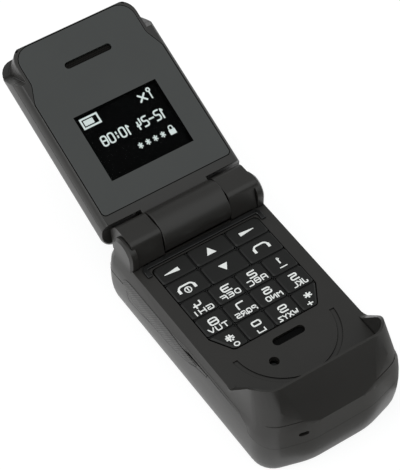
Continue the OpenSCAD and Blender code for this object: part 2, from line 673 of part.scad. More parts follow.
// Charging socket: a pressed metal shell with a plastic tongue.
module charging_port() color(STEEL) at_base() {
    x0 = board_half - 3.8;
    x1 = half_w - 0.45;
    y0 = port_y - port_w / 2;
    y1 = port_y + port_w / 2;
    difference() {
        across(x0, x1, rounded([[y0 + 0.9, port_top - port_t, 0.2], [y1 - 0.9, port_top - port_t, 0.2],
            [y1, port_top - port_t + 0.9, 0.2], [y1, port_top, 0.2], [y0, port_top, 0.2],
            [y0, port_top - port_t + 0.9, 0.2]], 3));
        across(x0 + 0.6, x1 + 1, rounded([[y0 + 1.1, port_top - port_t + 0.25, 0.2],
            [y1 - 1.1, port_top - port_t + 0.25, 0.2], [y1 - 0.25, port_top - port_t + 1, 0.2],
            [y1 - 0.25, port_top - 0.25, 0.2], [y0 + 0.25, port_top - 0.25, 0.2],
            [y0 + 0.25, port_top - port_t + 1, 0.2]], 3));
    }
    block(x0 + 0.5, x1 - 0.8, port_y - 2.2, port_y + 2.2, port_top - 1, port_top - 0.45);
}

// Vibration motor: a round can with an off-centre weight on its shaft.
module vibration_motor() color(STEEL) at_base() translate([0, -1.2, motor_floor + 2.02]) {
    rod_across(-5.8, 0.6, 2);
    rod_across(0.5, 1.3, 0.4);
    intersection() { rod_across(1.2, 4.4, 1.8); block(0, 5, -2, 2, -2, 0.35); }
}

module antenna_carrier() color("#d8d6cf") at_base()
    block(-6.3, 6.3, -board_end - 2.1, -bay_end - 3.1, cover_top + 0.85, shelf_z - 0.1);

module screw(r, head_r, head_t, length) {
    difference() {
        translate([0, 0, -head_t]) cylinder(h = head_t, r = head_r, $fn = CURVE);
        translate([0, 0, -head_t - 1]) for (a = [0, 90]) rotate(a) translate([-0.15 * head_r, -0.65 * head_r, 0])
            cube([0.3 * head_r, 1.3 * head_r, 1 + head_t * 0.5]);
    }
    translate([0, 0, -THIN]) cylinder(h = length + THIN, r = r, $fn = CURVE);
}
module casing_screws() color(STEEL) at_base()
    for (p = screw_places) translate([p.x, p.y, screw_seat - 0.01]) screw(screw_r, 1.25, screw_head_t, screw_len);

// ---- Keys ----------------------------------------------------------------

function key_index(k) = search([k], KEYS)[0];
function key_row(k) = let (i = key_index(k)) i < 3 ? 0 : i < 6 ? 1 : 2 + floor((i - 6) / 4);
function key_cols(k) = let (i = key_index(k), c = i < 6 ? i % 3 : (i - 6) % 4, w = keypad_w / 2)
    i < 6 ? [[-w, -middle_w / 2], [-middle_w / 2, middle_w / 2], [middle_w / 2, w]][c]
          : [-w + c * keypad_w / 4, -w + (c + 1) * keypad_w / 4];
function key_centre(k) = let (c = key_cols(k), r = key_row(k), i = key_index(k),
        nudge = i == 14 ? 0.5 : i == 17 ? -0.5 : 0)
    [(c[0] + c[1]) / 2 + nudge, (row_start[r] + row_start[r + 1]) / 2];
// One key's plan: its cell, drawn in by g, within the keypad's outline.
module key_plan(k, g) {
    c = key_cols(k);
    r = key_row(k);
    intersection() {
        polygon(box_outline(c[0] + g, c[1] - g, row_start[r + 1] + g, row_start[r] - g, 0.45));
        polygon(keypad_outline(g + 0.02));
    }
}
module key(k) color(KEY_BLACK) at_base() {
    g = key_gap / 2;
    translate([0, 0, key_rise - key_t]) linear_extrude(key_t - key_bevel) key_plan(k, g);
    hull() {
        translate([0, 0, key_rise - key_bevel - THIN]) linear_extrude(THIN) key_plan(k, g);
        translate([0, 0, key_rise - THIN]) linear_extrude(THIN) key_plan(k, g + key_bevel);
    }
    c = key_centre(k);
    translate([c.x, c.y, post_low]) cylinder(h = key_rise - key_t - post_low + THIN, r = post_r, $fn = CURVE);
}

// ---- Hinge ---------------------------------------------------------------

// Shaft held square in the left ear, turning in the lid's cartridge.
module hinge_shaft() color(STEEL) at_base() translate([0, 0, hinge_lift]) {
    block(-ear_in - 2.6, -ear_in + 0.02, -shaft_square / 2, shaft_square / 2, -shaft_square / 2, shaft_square / 2);
    rod_across(-ear_in, -ear_in + 3, shaft_r);
}
module hinge_bush() color(STEEL) at_base() translate([0, 0, hinge_lift]) difference() {
    rod_across(bush_start, ear_in + 4.05, bush_r);
    rod_across(bush_start - 1, ear_in + 5, bush_bore_r);
}
// Ribbon from the end of the right ear to the main board.
module base_flex() color(FLEX_AMBER) at_base() {
    block(flex_in + 0.45, flex_in + 0.65, -0.9, 0.9, board_top + 0.05, hinge_lift + 0.9);
    block(flex_in + 0.1, flex_in + 0.65, -keypad_start - 1.9, 0.9, board_top + 0.05, board_top + 0.25);
}

// ---- Lid form ------------------------------------------------------------

// Full lid before it is split: rounded edges, and an end that leans out towards the back.
module lid_shell() {
    round_h = 2.2;
    round_in = 1.9;
    difference() {
        hull() {
            slab(lid_lift - THIN, lid_outline(0.85, 0.45));
            slab(lid_lift - 0.3, lid_outline(0.45, 0.3));
            slab(lid_lift - 1.2, lid_outline(0.06, 0));
            slab(lid_lift - 2.2, lid_outline(0, -0.2));
            for (a = [0:18:90]) let (in = round_in * (1 - cos(a)))
                slab(lid_back + round_h * (1 - sin(a)) + (a == 90 ? 0 : THIN), lid_outline(in, in - 0.4));
        }
        lid_notch();
        // Rounded clearance round the ears
        both_sides() rod_across(barrel_w / 2, lid_half + 1, lid_clear_r);
    }
}

// Steps the full width down to the tongue, to clear the arms and the rim.
module lid_notch() {
    low = -(rim_h - hinge_lift) - 0.2;
    run = arm_run / rim_h;
    start = arm_start + run * (hinge_lift - lid_lift) - 0.55;
    difference() {
        across(-lid_half - 1, lid_half + 1, [
            [start, lid_lift + 1e-2], [start - run, lid_lift + 1], [lid_reach + 3, lid_lift + 1],
            [lid_reach + 3, low], [start + run * (lid_lift - low), low]]);
        translate([0, 0, low - 1]) linear_extrude(lid_t + 2) polygon(tongue_outline(0));
    }
}

// Web that joins the barrel to the lid between the ears.
module barrel_web() across(-barrel_w / 2, barrel_w / 2, [
    [0, lid_lift], [8, lid_lift], [8, lid_back + 0.6], [4.6, lid_back + 0.7], [barrel_r * 0.75, -barrel_r * 0.66], [0, 0]]);

// ---- Lid pieces ----------------------------------------------------------

// Inner casing: the tray that holds plate, display and board, with the hinge barrel.
module lid_inner_casing() color(ABS) at_lid() difference() {
    union() {
        intersection() { lid_shell(); block(-lid_half, lid_half, 0, lid_reach + 1, split_n, lid_lift + 1); }
        rod_across(-barrel_w / 2, barrel_w / 2, barrel_r);
        intersection() {
            barrel_web();
            block(-lid_half, lid_half, -1, web_end, lid_back, lid_lift + 1);
        }
        // Lip that stands inside the outer shell's wall
        translate([0, 0, split_n - 0.7]) linear_extrude(0.7 + THIN) difference() {
            lid_inside(0.08, 6.6);
            lid_inside(0.75, 7.3);
        }
        // Ribs that the circuit board lies against
        both_sides() block(module_half + 0.35, module_half + 0.75, window_start + 0.9, window_end - 0.7, lid_board_top + 0.03, split_n + THIN);
    }
    translate([0, 0, plate_low - 0.02]) linear_extrude(lid_t) polygon(plate_outline(0.07));
    block(-module_half - 0.3, module_half + 0.3, window_start - 1.3, window_end + 1.3, split_n - 1, lid_lift);
    translate([0, slot_y, split_n - 1]) linear_extrude(lid_t) hull_slot(slot_w, slot_h + 0.6);
    barrel_bores();
    for (p = lid_screw_places) translate([p.x, p.y, split_n - 1]) {
        cylinder(h = 3, r = lid_screw_r + 0.05, $fn = CURVE);
        translate([0, 0, 1 + 0.15]) cylinder(h = 3, r = lid_head_r + 0.05, $fn = CURVE);
    }
}

// Room inside the lid's walls, drawn in by g; s is where it starts.
module lid_inside(g, s) {
    w = lid_half - lid_wall - 0.2 - g;
    t = tongue_w / 2 - lid_wall - g;
    e = lid_reach - lid_wall - 0.3 - g;
    k = arm_start - 1.2 - g;
    polygon(rounded([[w, s, 0.8], [w, k, 0.8], [t, k + 0.9, 0.8], [t, e, 1.6], [-t, e, 1.6],
                     [-t, k + 0.9, 0.8], [-w, k, 0.8], [-w, s, 0.8]], 4));
}

module barrel_bores() {
    rod_across(-barrel_w / 2 - 1, -barrel_w / 2 + cartridge_len, cartridge_r + 0.03);
    rod_across(bush_start - 0.1, barrel_w / 2 + 1, bush_r + fit);
    rod_across(flex_start - 0.3, barrel_w / 2 + 1, bush_bore_r);
    flex_slot();
}
// Slot for the flexible circuit, from the barrel's bore to the lid's board.
module flex_slot() across(flex_start - 0.2, bush_start - 0.15,
    [[-0.4, -1.1], [0.6, 0.9], [2.5, -0.9], [5, -1.6], [lid_board_start + 1, -1.6],
     [lid_board_start + 1, -2.9], [3.4, -2.9], [2.4, -2.3]]);

// Outer casing: the smooth back of the lid, with posts for the lid's screws.
module lid_outer_casing() color(ABS) at_lid() difference() {
    union() {
        difference() {
            intersection() { lid_shell(); block(-lid_half, lid_half, 0, lid_reach + 1, lid_back, split_n); }
            translate([0, 0, lid_back + lid_wall]) linear_extrude(lid_t) lid_inside(0, 6.5);
        }
        for (p = lid_screw_places) translate([p.x, p.y, lid_back + lid_wall - THIN])
            cylinder(h = lid_t - lid_split - lid_wall - 0.01, r = 1.1, $fn = CURVE);
    }
    rod_across(-barrel_w / 2 - fit, barrel_w / 2 + fit, barrel_r + fit);
    // Room for the web of the inner casing
    block(-barrel_w / 2 - fit, barrel_w / 2 + fit, 0, web_end + fit, lid_back - 1, split_n + 1);
    flex_slot();
    for (p = lid_screw_places) translate([p.x, p.y, -3.3])
        cylinder(h = 3, r = lid_screw_r + 0.02, $fn = CURVE);
}

module lid_plate() color("#4e504f") at_lid() difference() {
    translate([0, 0, plate_low]) linear_extrude(plate_t) polygon(plate_outline(0));
    block(-window_w / 2 - 0.04, window_w / 2 + 0.04, window_start - 0.04, window_end + 0.04, -2, 2);
    translate([0, slot_y, -2]) linear_extrude(4) hull_slot(slot_w, slot_h);
}
module display_window() color(GLASS_BLACK) at_lid()
    block(-window_w / 2, window_w / 2, window_start, window_end, plate_low + 0.02, lid_lift - 0.03);
module display_module() color(GLASS_BLACK) at_lid()
    block(-module_half, module_half, window_start - 1, window_end + 1, module_top - module_t, module_top);
module lid_board() color(BOARD_GREEN) at_lid() {
    translate([0, 0, lid_board_low]) linear_extrude(lid_board_t)
        polygon(box_outline(3.3 - lid_half, lid_half - 3.3, lid_board_start, window_end + 5.1, 0.8));
}
// Earpiece: a flat sound unit behind the slot.
module earpiece() color(STEEL) at_lid() translate([0, slot_y, split_n - 0.03 - 2]) {
    linear_extrude(2) polygon(box_outline(-5.2, 5.2, -2.4, 2.4, 1));
}
module earpiece_mesh() color(KEY_BLACK) at_lid() translate([0, slot_y, split_n]) {
    linear_extrude(plate_low - split_n + 0.25) hull_slot(slot_w - 0.08, slot_h - 0.08);
}
module lid_magnet() color(STEEL) at_lid() translate([magnet_x, magnet_y, split_n - 1.05]) cylinder(h = 1, r = 0.9, $fn = CURVE);
module lid_screws() color(STEEL) at_lid() for (p = lid_screw_places)
    translate([p.x, p.y, split_n + 0.16]) mirror([0, 0, 1]) screw(lid_screw_r, lid_head_r, 0.45, 2.4);

// Sprung cam cartridge, fast in the barrel's left end.
module hinge_cartridge() color(STEEL) at_lid() difference() {
    rod_across(-barrel_w / 2 + 0.02, -barrel_w / 2 + cartridge_len - 0.05, cartridge_r);
    rod_across(-barrel_w / 2 - 1, -barrel_w / 2 + 3.2, shaft_r + fit);
}
// Flexible circuit: rolled in the hollow bush, then flat up to the lid's board.
module display_flex() color(FLEX_AMBER) at_lid() {
    rod_across(flex_start, flex_in + 0.35, bush_bore_r - 0.2);
    across(flex_start, bush_start - 0.3, [[-0.1, -0.75], [3.4, -1.95], [lid_board_start + 1.2, -2.12],
        [lid_board_start + 1.2, -2.3], [3.4, -2.15], [-0.1, -0.95]]);
}

// ---- Assembly ------------------------------------------------------------

front_casing();
rear_casing();
battery_cover();
battery();
battery_connector();
main_board();
shield_can();
sim_holder();
key_domes();
key_mat();
microphone();
reset_switch();
reset_plunger();
hall_sensor();
charging_port();
vibration_motor();
antenna_carrier();
left_grip();
right_grip();
casing_screws();
hinge_shaft();
hinge_bush();
base_flex();
lid_inner_casing();
lid_outer_casing();
lid_plate();
display_window();
display_module();
lid_board();
earpiece();
earpiece_mesh();
lid_magnet();
lid_screws();
hinge_cartridge();
display_flex();
for (k = KEYS) key(k);
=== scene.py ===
"""Looks of a miniature folding phone: moulded shells, printed keys, hinge, lit screen, inner parts."""

import json
import math

import bmesh
import bpy
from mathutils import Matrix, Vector
from mathutils.bvhtree import BVHTree

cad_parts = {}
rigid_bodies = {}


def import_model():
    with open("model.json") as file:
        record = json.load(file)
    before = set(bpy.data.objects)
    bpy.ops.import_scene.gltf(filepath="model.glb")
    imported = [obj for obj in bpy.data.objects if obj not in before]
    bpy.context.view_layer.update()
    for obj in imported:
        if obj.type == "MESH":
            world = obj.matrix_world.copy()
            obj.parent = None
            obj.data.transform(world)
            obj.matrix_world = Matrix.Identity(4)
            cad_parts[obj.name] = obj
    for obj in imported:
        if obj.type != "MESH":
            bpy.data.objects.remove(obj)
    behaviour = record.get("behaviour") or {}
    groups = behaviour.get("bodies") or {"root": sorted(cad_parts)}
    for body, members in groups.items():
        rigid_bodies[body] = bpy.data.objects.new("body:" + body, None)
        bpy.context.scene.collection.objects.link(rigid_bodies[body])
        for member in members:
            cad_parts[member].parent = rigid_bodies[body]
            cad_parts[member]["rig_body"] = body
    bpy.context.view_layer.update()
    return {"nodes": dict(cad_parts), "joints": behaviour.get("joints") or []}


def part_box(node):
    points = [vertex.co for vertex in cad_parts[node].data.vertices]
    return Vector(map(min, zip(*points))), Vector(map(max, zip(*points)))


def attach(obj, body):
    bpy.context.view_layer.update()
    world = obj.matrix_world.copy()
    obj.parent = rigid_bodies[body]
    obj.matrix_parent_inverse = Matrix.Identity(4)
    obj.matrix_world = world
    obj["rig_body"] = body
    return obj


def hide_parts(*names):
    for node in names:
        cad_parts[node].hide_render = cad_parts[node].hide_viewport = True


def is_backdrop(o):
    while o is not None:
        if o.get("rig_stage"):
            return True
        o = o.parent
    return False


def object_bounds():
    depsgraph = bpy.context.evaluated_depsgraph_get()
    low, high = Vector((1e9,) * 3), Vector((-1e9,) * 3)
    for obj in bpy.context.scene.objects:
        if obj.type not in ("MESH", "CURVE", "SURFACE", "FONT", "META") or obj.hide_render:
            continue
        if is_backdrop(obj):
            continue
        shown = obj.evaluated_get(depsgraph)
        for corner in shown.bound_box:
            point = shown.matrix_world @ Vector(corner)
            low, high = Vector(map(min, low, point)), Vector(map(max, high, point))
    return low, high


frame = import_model()
MM = 0.001

# ---- Rear casing and battery cover ------------------------------------------
# The lower half of the base and its snap-in door, both injection moulded in black ABS.
# The steel mould was spark eroded, which leaves a fine, even, satin grain, and every
# outside edge has the small radius of the cutter that made the mould.

CASING_BLACK = "#201f1d"
CASING_PALE = "#282624"
# The colour of the painted highlight along the casing's edges.
CASING_EDGE_HIGHLIGHT = "#3d3a37"
GRAIN_MM = 0.16
CLOUD_MM = 9
# How far the painted shade in crevices reaches.
CREVICE_MM = 0.3
# How far from an edge the painted highlight reaches.
EDGE_HIGHLIGHT_RADIUS = 0.13 * MM
MOULD_RADIUS = 0.1 * MM
SHARP_FROM = math.radians(32)
FLAT_WITHIN = math.radians(0.7)
WELD = 0.016 * MM


def linear(code):
    """An sRGB hex colour as the linear one that a shader takes."""
    parts = [int(code[i : i + 2], 16) / 255 for i in (1, 3, 5)]
    return (*[c / 12.92 if c <= 0.04045 else ((c + 0.055) / 1.055) ** 2.4 for c in parts], 1.0)


def add(tree, kind, settings=None, **inputs):
    """One node of that kind with its settings. Inputs go by name or as i0, i1: values or sockets."""
    made = tree.nodes.new("ShaderNode" + kind)
    for key, value in (settings or {}).items():
        setattr(made, key, value)
    for key, value in inputs.items():
        place = int(key[1:]) if key[0] == "i" and key[1:].isdigit() else key.replace("_", " ")
        if isinstance(value, bpy.types.NodeSocket):
            tree.links.new(value, made.inputs[place])
        else:
            made.inputs[place].default_value = value
    return made


def new_material(name, roughness=0.5, ior=1.5, metallic=0.0):
    """A material with one shader on its output, and the object's own coordinates for its patterns."""
    made = bpy.data.materials.new(name)
    made.use_nodes = True
    tree = made.node_tree
    tree.nodes.clear()
    shader = add(tree, "BsdfPrincipled", Roughness=roughness, IOR=ior, Metallic=metallic)
    add(tree, "OutputMaterial", Surface=shader.outputs["BSDF"])
    return made, tree, shader, add(tree, "TexCoord").outputs["Object"]


def per_mm(size_mm):
    """The texture scale at which one feature is about that many millimetres."""
    return 1 / (size_mm * MM)


def moulded(name, dark, pale, edge_highlight, grain_mm, roughness, relief, ior=1.53, shine=0.5):
    """Plastic as the mould left it: fine grain and slow cloudiness, with a painted highlight along its
    edges and painted shade in its crevices that darkens the colour and dims the specular.
    """
    made, tree, shader, place = new_material(name, ior=ior)
    cloud = add(tree, "TexNoise", Vector=place, Scale=per_mm(CLOUD_MM), Detail=3.0, Roughness=0.55)
    grain = add(tree, "TexNoise", Vector=place, Scale=per_mm(grain_mm), Detail=2.0, Roughness=0.6)
    body = add(tree, "Mix", {"data_type": "RGBA"}, i0=cloud.outputs[0], i6=linear(dark), i7=linear(pale))
    # Painted highlight: the colour turns paler along edges, where the rounded normal leans away from the
    # true one.
    rounded = add(tree, "Bevel", {"samples": 4}, Radius=EDGE_HIGHLIGHT_RADIUS)
    turned = add(
        tree,
        "VectorMath",
        {"operation": "DOT_PRODUCT"},
        i0=rounded.outputs[0],
        i1=add(tree, "NewGeometry").outputs["Normal"],
    )
    edge_highlight_mask = add(
        tree, "MapRange", Value=turned.outputs["Value"], From_Min=0.99, From_Max=0.8, To_Min=0.0, To_Max=0.5
    )
    edge_highlighted = add(
        tree, "Mix", {"data_type": "RGBA"}, i0=edge_highlight_mask.outputs[0], i6=body.outputs[2], i7=linear(edge_highlight)
    )
    # Painted shade: in crevices the colour darkens toward black and the specular level drops.
    crevice = add(tree, "AmbientOcclusion", {"samples": 6}, Distance=CREVICE_MM * MM)
    openness = add(tree, "MapRange", Value=crevice.outputs["AO"], From_Min=0.45, From_Max=0.92)
    shaded_specular = add(tree, "Math", {"operation": "MULTIPLY"}, i0=openness.outputs[0], i1=shine)
    seen = add(
        tree, "Mix", {"data_type": "RGBA"}, i0=openness.outputs[0], i6=linear("#060606"), i7=edge_highlighted.outputs[2]
    )
    sheen = add(
        tree, "MapRange", Value=grain.outputs[0], To_Min=roughness - 0.05, To_Max=roughness + 0.06
    )
    tree.links.new(shaded_specular.outputs[0], shader.inputs["Specular IOR Level"])
    grained = add(tree, "Bump", Height=grain.outputs[0], Strength=relief, Distance=0.02 * MM)
    tree.links.new(seen.outputs[2], shader.inputs["Base Color"])
    tree.links.new(sheen.outputs[0], shader.inputs["Roughness"])
    tree.links.new(grained.outputs[0], shader.inputs["Normal"])
    return made


def soft_edges(piece, radius):
    """The small radius that a mould's cutter leaves on a piece's edges."""
    rounding = piece.modifiers.new("rounding", "BEVEL")
    rounding.width = radius
    rounding.segments = 2
    rounding.limit_method = "ANGLE"
    rounding.angle_limit = SHARP_FROM
    rounding.use_clamp_overlap = False
    return rounding


def rounded_copy(node, material, radius, held=False):
    """A piece with a CAD node's own form and rounded edges, standing for that node.

    Where a form has edges much shorter than the radius, held keeps the rounding to what fits them.
    """
    source = frame["nodes"][node]
    form = bmesh.new()
    points = [form.verts.new(v.co) for v in source.data.vertices]
    for side in source.data.polygons:
        form.faces.new([points[i] for i in side.vertices])
    bmesh.ops.remove_doubles(form, verts=form.verts, dist=WELD)
    bmesh.ops.dissolve_degenerate(form, edges=form.edges, dist=WELD / 4)
    bmesh.ops.dissolve_limit(form, angle_limit=FLAT_WITHIN, verts=form.verts, edges=form.edges)
    bmesh.ops.triangulate(form, faces=[side for side in form.faces if len(side.verts) > 4])
    bmesh.ops.recalc_face_normals(form, faces=form.faces)
    for side in form.faces:
        side.smooth = True
    for edge in form.edges:
        edge.smooth = not edge.is_manifold or edge.calc_face_angle() < SHARP_FROM
    piece = piece_from(form, node + "_finished", material, source["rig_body"])
    rounding = soft_edges(piece, radius)
    rounding.harden_normals = True
    rounding.use_clamp_overlap = held
    rounding.loop_slide = False
    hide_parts(node)
    return piece


def piece_from(form, name, material, body):
    """A finished mesh as a piece that moves with a body of the frame."""
    mesh = bpy.data.meshes.new(name)
    form.to_mesh(mesh)
    form.free()
    mesh.materials.append(material)
    piece = bpy.data.objects.new(name, mesh)
    bpy.context.scene.collection.objects.link(piece)
    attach(piece, body)
    return piece


# Black ABS with a spark-eroded skin: a charcoal satin that greys where it mirrors a pale table, with a
# painted highlight along its edges and painted shade in its crevices.
spark_eroded_abs = moulded(
    "spark_eroded_black_abs", CASING_BLACK, CASING_PALE, CASING_EDGE_HIGHLIGHT, GRAIN_MM, 0.36, 0.3
)
rounded_copy("rear_casing", spark_eroded_abs, MOULD_RADIUS)
rounded_copy("battery_cover", spark_eroded_abs, MOULD_RADIUS)

# ---- Battery and its contacts -------------------------------------------------
# A flat lithium cell in a wrap of matt film, with its ends folded and taped, and the
# gold plated springs in a nylon block that press on its terminals.

FOIL_GREY = "#8f9294"
FOIL_DULL = "#7b7f82"
NYLON_BLACK = "#191919"


def dressed(nodes, material):
    """CAD nodes that keep their own meshes, in a new finish."""
    for node in nodes:
        skin = frame["nodes"][node].data.materials
        skin.clear()
        skin.append(material)


def wrapped_film(name, pale, dull):
    """Laminated film round a cell: slack in places, so it glints unevenly."""
    made, tree, shader, place = new_material(name, roughness=0.35, metallic=0.55)
    slack = add(tree, "TexNoise", Vector=place, Scale=per_mm(3.5), Detail=4.0, Roughness=0.5)
    tone = add(tree, "Mix", {"data_type": "RGBA"}, i0=slack.outputs[0], i6=linear(pale), i7=linear(dull))
    crease = add(tree, "Bump", Height=slack.outputs[0], Strength=0.5, Distance=0.08 * MM)
    tree.links.new(tone.outputs[2], shader.inputs["Base Color"])
    tree.links.new(crease.outputs[0], shader.inputs["Normal"])
    return made


dressed(["battery"], wrapped_film("laminated_cell_film", FOIL_GREY, FOIL_DULL))
# Glass-filled nylon, as moulded: dull black with a fine mottle from the fibres, a painted highlight along
# its edges and painted shade in its crevices.
moulded_nylon = moulded("glass_filled_nylon", NYLON_BLACK, "#232323", "#303030", 0.25, 0.55, 0.3, 1.53)
dressed(["battery_connector"], moulded_nylon)

# ---- Main board with what is soldered on it -----------------------------------
# A fibreglass board under dark green solder mask. A tinned steel can covers the radio,
# the card holder is bent from the same sheet, and a dome of sprung steel sits under each key.

MASK_GREEN = "#12382b"
TRACE_GREEN = "#1f5540"
TIN_PALE = "#c9c8c3"
TIN_DARK = "#a19f99"
ROLL_MM = 0.12


def solder_masked(name, ground, trace):
    """Fibreglass under solder mask: copper tracks show through as paler, slightly raised lines."""
    made, tree, shader, place = new_material(name, roughness=0.3, ior=1.55)
    tracks = add(
        tree,
        "TexBrick",
        {"offset": 0.37, "squash": 1.6},
        Vector=place,
        Scale=per_mm(1),
        Mortar_Size=0.09,
        Brick_Width=1.7,
        Row_Height=0.42,
        Color1=linear(ground),
        Color2=linear(ground),
        Mortar=linear(trace),
    )
    height = add(tree, "Bump", Height=tracks.outputs["Fac"], Strength=0.4, Distance=0.03 * MM)
    tree.links.new(tracks.outputs["Color"], shader.inputs["Base Color"])
    tree.links.new(height.outputs[0], shader.inputs["Normal"])
    return made


def rolled_metal(name, pale, dark, roughness, roll_mm):
    """Sheet or bar metal: fine lines along the way it was rolled or drawn, a little dulled in patches."""
    made, tree, shader, place = new_material(name, metallic=1.0)
    along = add(tree, "Mapping", Vector=place, Scale=(0.06, 1.0, 1.0))
    lines = add(tree, "TexNoise", Vector=along.outputs[0], Scale=per_mm(roll_mm), Detail=2.0)
    patch = add(tree, "TexNoise", Vector=place, Scale=per_mm(2.5), Detail=2.0)
    tone = add(tree, "Mix", {"data_type": "RGBA"}, i0=patch.outputs[0], i6=linear(pale), i7=linear(dark))
    dull = add(tree, "MapRange", Value=lines.outputs[0], To_Min=roughness - 0.06, To_Max=roughness + 0.1)
    fine = add(tree, "Bump", Height=lines.outputs[0], Strength=0.25, Distance=0.01 * MM)
    tree.links.new(tone.outputs[2], shader.inputs["Base Color"])
    tree.links.new(dull.outputs[0], shader.inputs["Roughness"])
    tree.links.new(fine.outputs[0], shader.inputs["Normal"])
    return made


solder_mask = solder_masked("green_solder_mask", MASK_GREEN, TRACE_GREEN)
tinned_steel = rolled_metal("tinned_rolled_steel", TIN_PALE, TIN_DARK, 0.3, ROLL_MM)
# Gold plate over nickel: bright and warm, with the soft gleam of a plating bath.
gold_plate = rolled_metal("gold_plated_contact", "#e0b75c", "#c79a45", 0.22, 0.2)
dressed(["main_board"], solder_mask)
dressed(["shield_can", "sim_holder", "key_domes", "charging_port", "reset_switch"], tinned_steel)
dressed(["microphone"], gold_plate)
dressed(["hall_sensor", "reset_plunger"], moulded_nylon)

# ---- Vibration motor and aerial -------------------------------------------------
# A coin motor in a deep-drawn steel cup, and the aerial on its moulded block in the chin,
# a pale blend that takes plating.

drawn_steel = rolled_metal("deep_drawn_steel", "#bdbcb8", "#94938f", 0.34, 0.3)
dressed(["vibration_motor"], drawn_steel)
# Undyed ABS and polycarbonate blend, fine grained: bone white and slightly waxy, with a painted highlight
# along its edges and painted shade in its crevices.
plateable_blend = moulded("plateable_abs_blend", "#c9c4b6", "#bdb8aa", "#d6d2c6", 0.3, 0.5, 0.25, 1.57)
dressed(["antenna_carrier"], plateable_blend)

# ---- Front casing --------------------------------------------------------------
# The upper half of the base with its raised chin, from the same ABS and the same kind of
# mould. It drops on the rear casing along the stepped seam, and screws hold it from behind.

rounded_copy("front_casing", spark_eroded_abs, MOULD_RADIUS, held=True)

# ---- Keypad surround and microphone gauze ------------------------------------------
# A polished rib stands along the top of the keypad opening and turns down past its corners.
# A black woven gauze lies in the microphone's slot as painted shade, so that the slot looks black.

RIB_LINE = [(-10.4, 13.5), (-10.4, 14.98), (10.4, 14.98), (10.4, 13.5)]
RIB_WIDTH, RIB_HEIGHT = 0.78, 0.26 * MM
RIB_TURN = 1.0
FACE_TOP = 10.2
SUNK = 0.02 * MM
GAUZE_MIDDLE, GAUZE_LENGTH, GAUZE_WIDTH, GAUZE_LOW = (0.6, -7.25), 5.5, 1.42, 9.62
GAUZE_PITCH_MM = 0.25  # real gauze is nearer 0.08 mm, and is drawn coarser so that it shows


def softened(line, radius):
    """A line of points with its corners rounded, as a cutter or a signwriter's pen turns them."""
    closed = line[0] == line[-1]
    corners = [Vector(p) for p in (line[:-1] if closed else line)]
    made = []
    for i, here in enumerate(corners):
        if not closed and i in (0, len(corners) - 1):
            made.append(here)
            continue
        before, after = corners[i - 1] - here, corners[(i + 1) % len(corners)] - here
        cut = min(radius, 0.45 * before.length, 0.45 * after.length)
        start, end = here + before.normalized() * cut, here + after.normalized() * cut
        for t in (0, 0.25, 0.5, 0.75, 1):
            made.append((1 - t) ** 2 * start + 2 * t * (1 - t) * here + t**2 * end)
    return made + [made[0].copy()] if closed else made


def lay_stroke(form, line, width, place, thick):
    """A flat raised stroke along a line. place puts a point of the line, and a height, on the part."""
    closed = (line[0] - line[-1]).length < 1e-9
    points = line[:-1] if closed else line
    count = len(points)
    rings = []
    for i, here in enumerate(points):
        back = here - points[i - 1] if closed or i > 0 else points[1] - here
        ahead = points[(i + 1) % count] - here if closed or i < count - 1 else back
        back, ahead = back.normalized(), ahead.normalized()
        side = Vector((-(back.y + ahead.y), back.x + ahead.x))
        side = side.normalized() if side.length > 1e-6 else Vector((-back.y, back.x))
        spread = width / 2 / max(0.5, side.dot(Vector((-back.y, back.x))))
        end = Vector((0, 0))
        if not closed and i in (0, count - 1):
            end = (back if i else -ahead) * width / 2
        edges = ((1, 0), (1, 1), (-1, 1), (-1, 0))
        rings.append([form.verts.new(place(here + end + side * spread * s, thick * up)) for s, up in edges])
    for i in range(count if closed else count - 1):
        one, two = rings[i], rings[(i + 1) % count]
        for k in range(4):
            form.faces.new((one[k], two[k], two[(k + 1) % 4], one[(k + 1) % 4]))
    if not closed:
        form.faces.new(rings[0])
        form.faces.new(rings[-1][::-1])


def lay_shape(form, outline, place, thick):
    """A filled flat shape with a little thickness, such as an arrow on a key."""
    top = [form.verts.new(place(Vector(p), thick)) for p in outline]
    base = [form.verts.new(place(Vector(p), 0)) for p in outline]
    form.faces.new(top)
    form.faces.new(base[::-1])
    for i in range(len(outline)):
        k = (i + 1) % len(outline)
        form.faces.new((top[i], base[i], base[k], top[k]))


def woven(name, thread, hole, pitch_mm):
    """Woven gauze: rows of small dark holes between black threads."""
    made, tree, shader, place = new_material(name, roughness=0.7)
    shader.inputs["Specular IOR Level"].default_value = 0.05
    weave = add(
        tree,
        "TexBrick",
        {"offset": 0.5, "squash": 1.0},
        Vector=place,
        Scale=per_mm(1),
        Mortar_Size=pitch_mm * 0.22,
        Brick_Width=pitch_mm,
        Row_Height=pitch_mm,
        Color1=linear(hole),
        Color2=linear(hole),
        Mortar=linear(thread),
    )
    threads = add(tree, "Bump", Height=weave.outputs["Fac"], Strength=0.7, Distance=0.05 * MM)
    tree.links.new(weave.outputs["Color"], shader.inputs["Base Color"])
    tree.links.new(threads.outputs[0], shader.inputs["Normal"])
    return made


def on_face(height):
    """Puts a flat drawing on the base, at that height in mm above the table."""
    return lambda p, rise: (p.x * MM, p.y * MM, height * MM + rise)


form = bmesh.new()
lay_stroke(form, softened(RIB_LINE, RIB_TURN), RIB_WIDTH, on_face(FACE_TOP - SUNK / MM), RIB_HEIGHT)
# The rib is polished darker than the casing's skin, with a painted highlight along its narrow edges and
# painted shade in its crevices.
polished_abs = moulded("polished_black_abs", "#131313", "#181818", "#4a4b4c", 0.3, 0.2, 0.1, shine=0.45)
soft_edges(piece_from(form, "keypad_rib", polished_abs, "base"), 0.09 * MM)

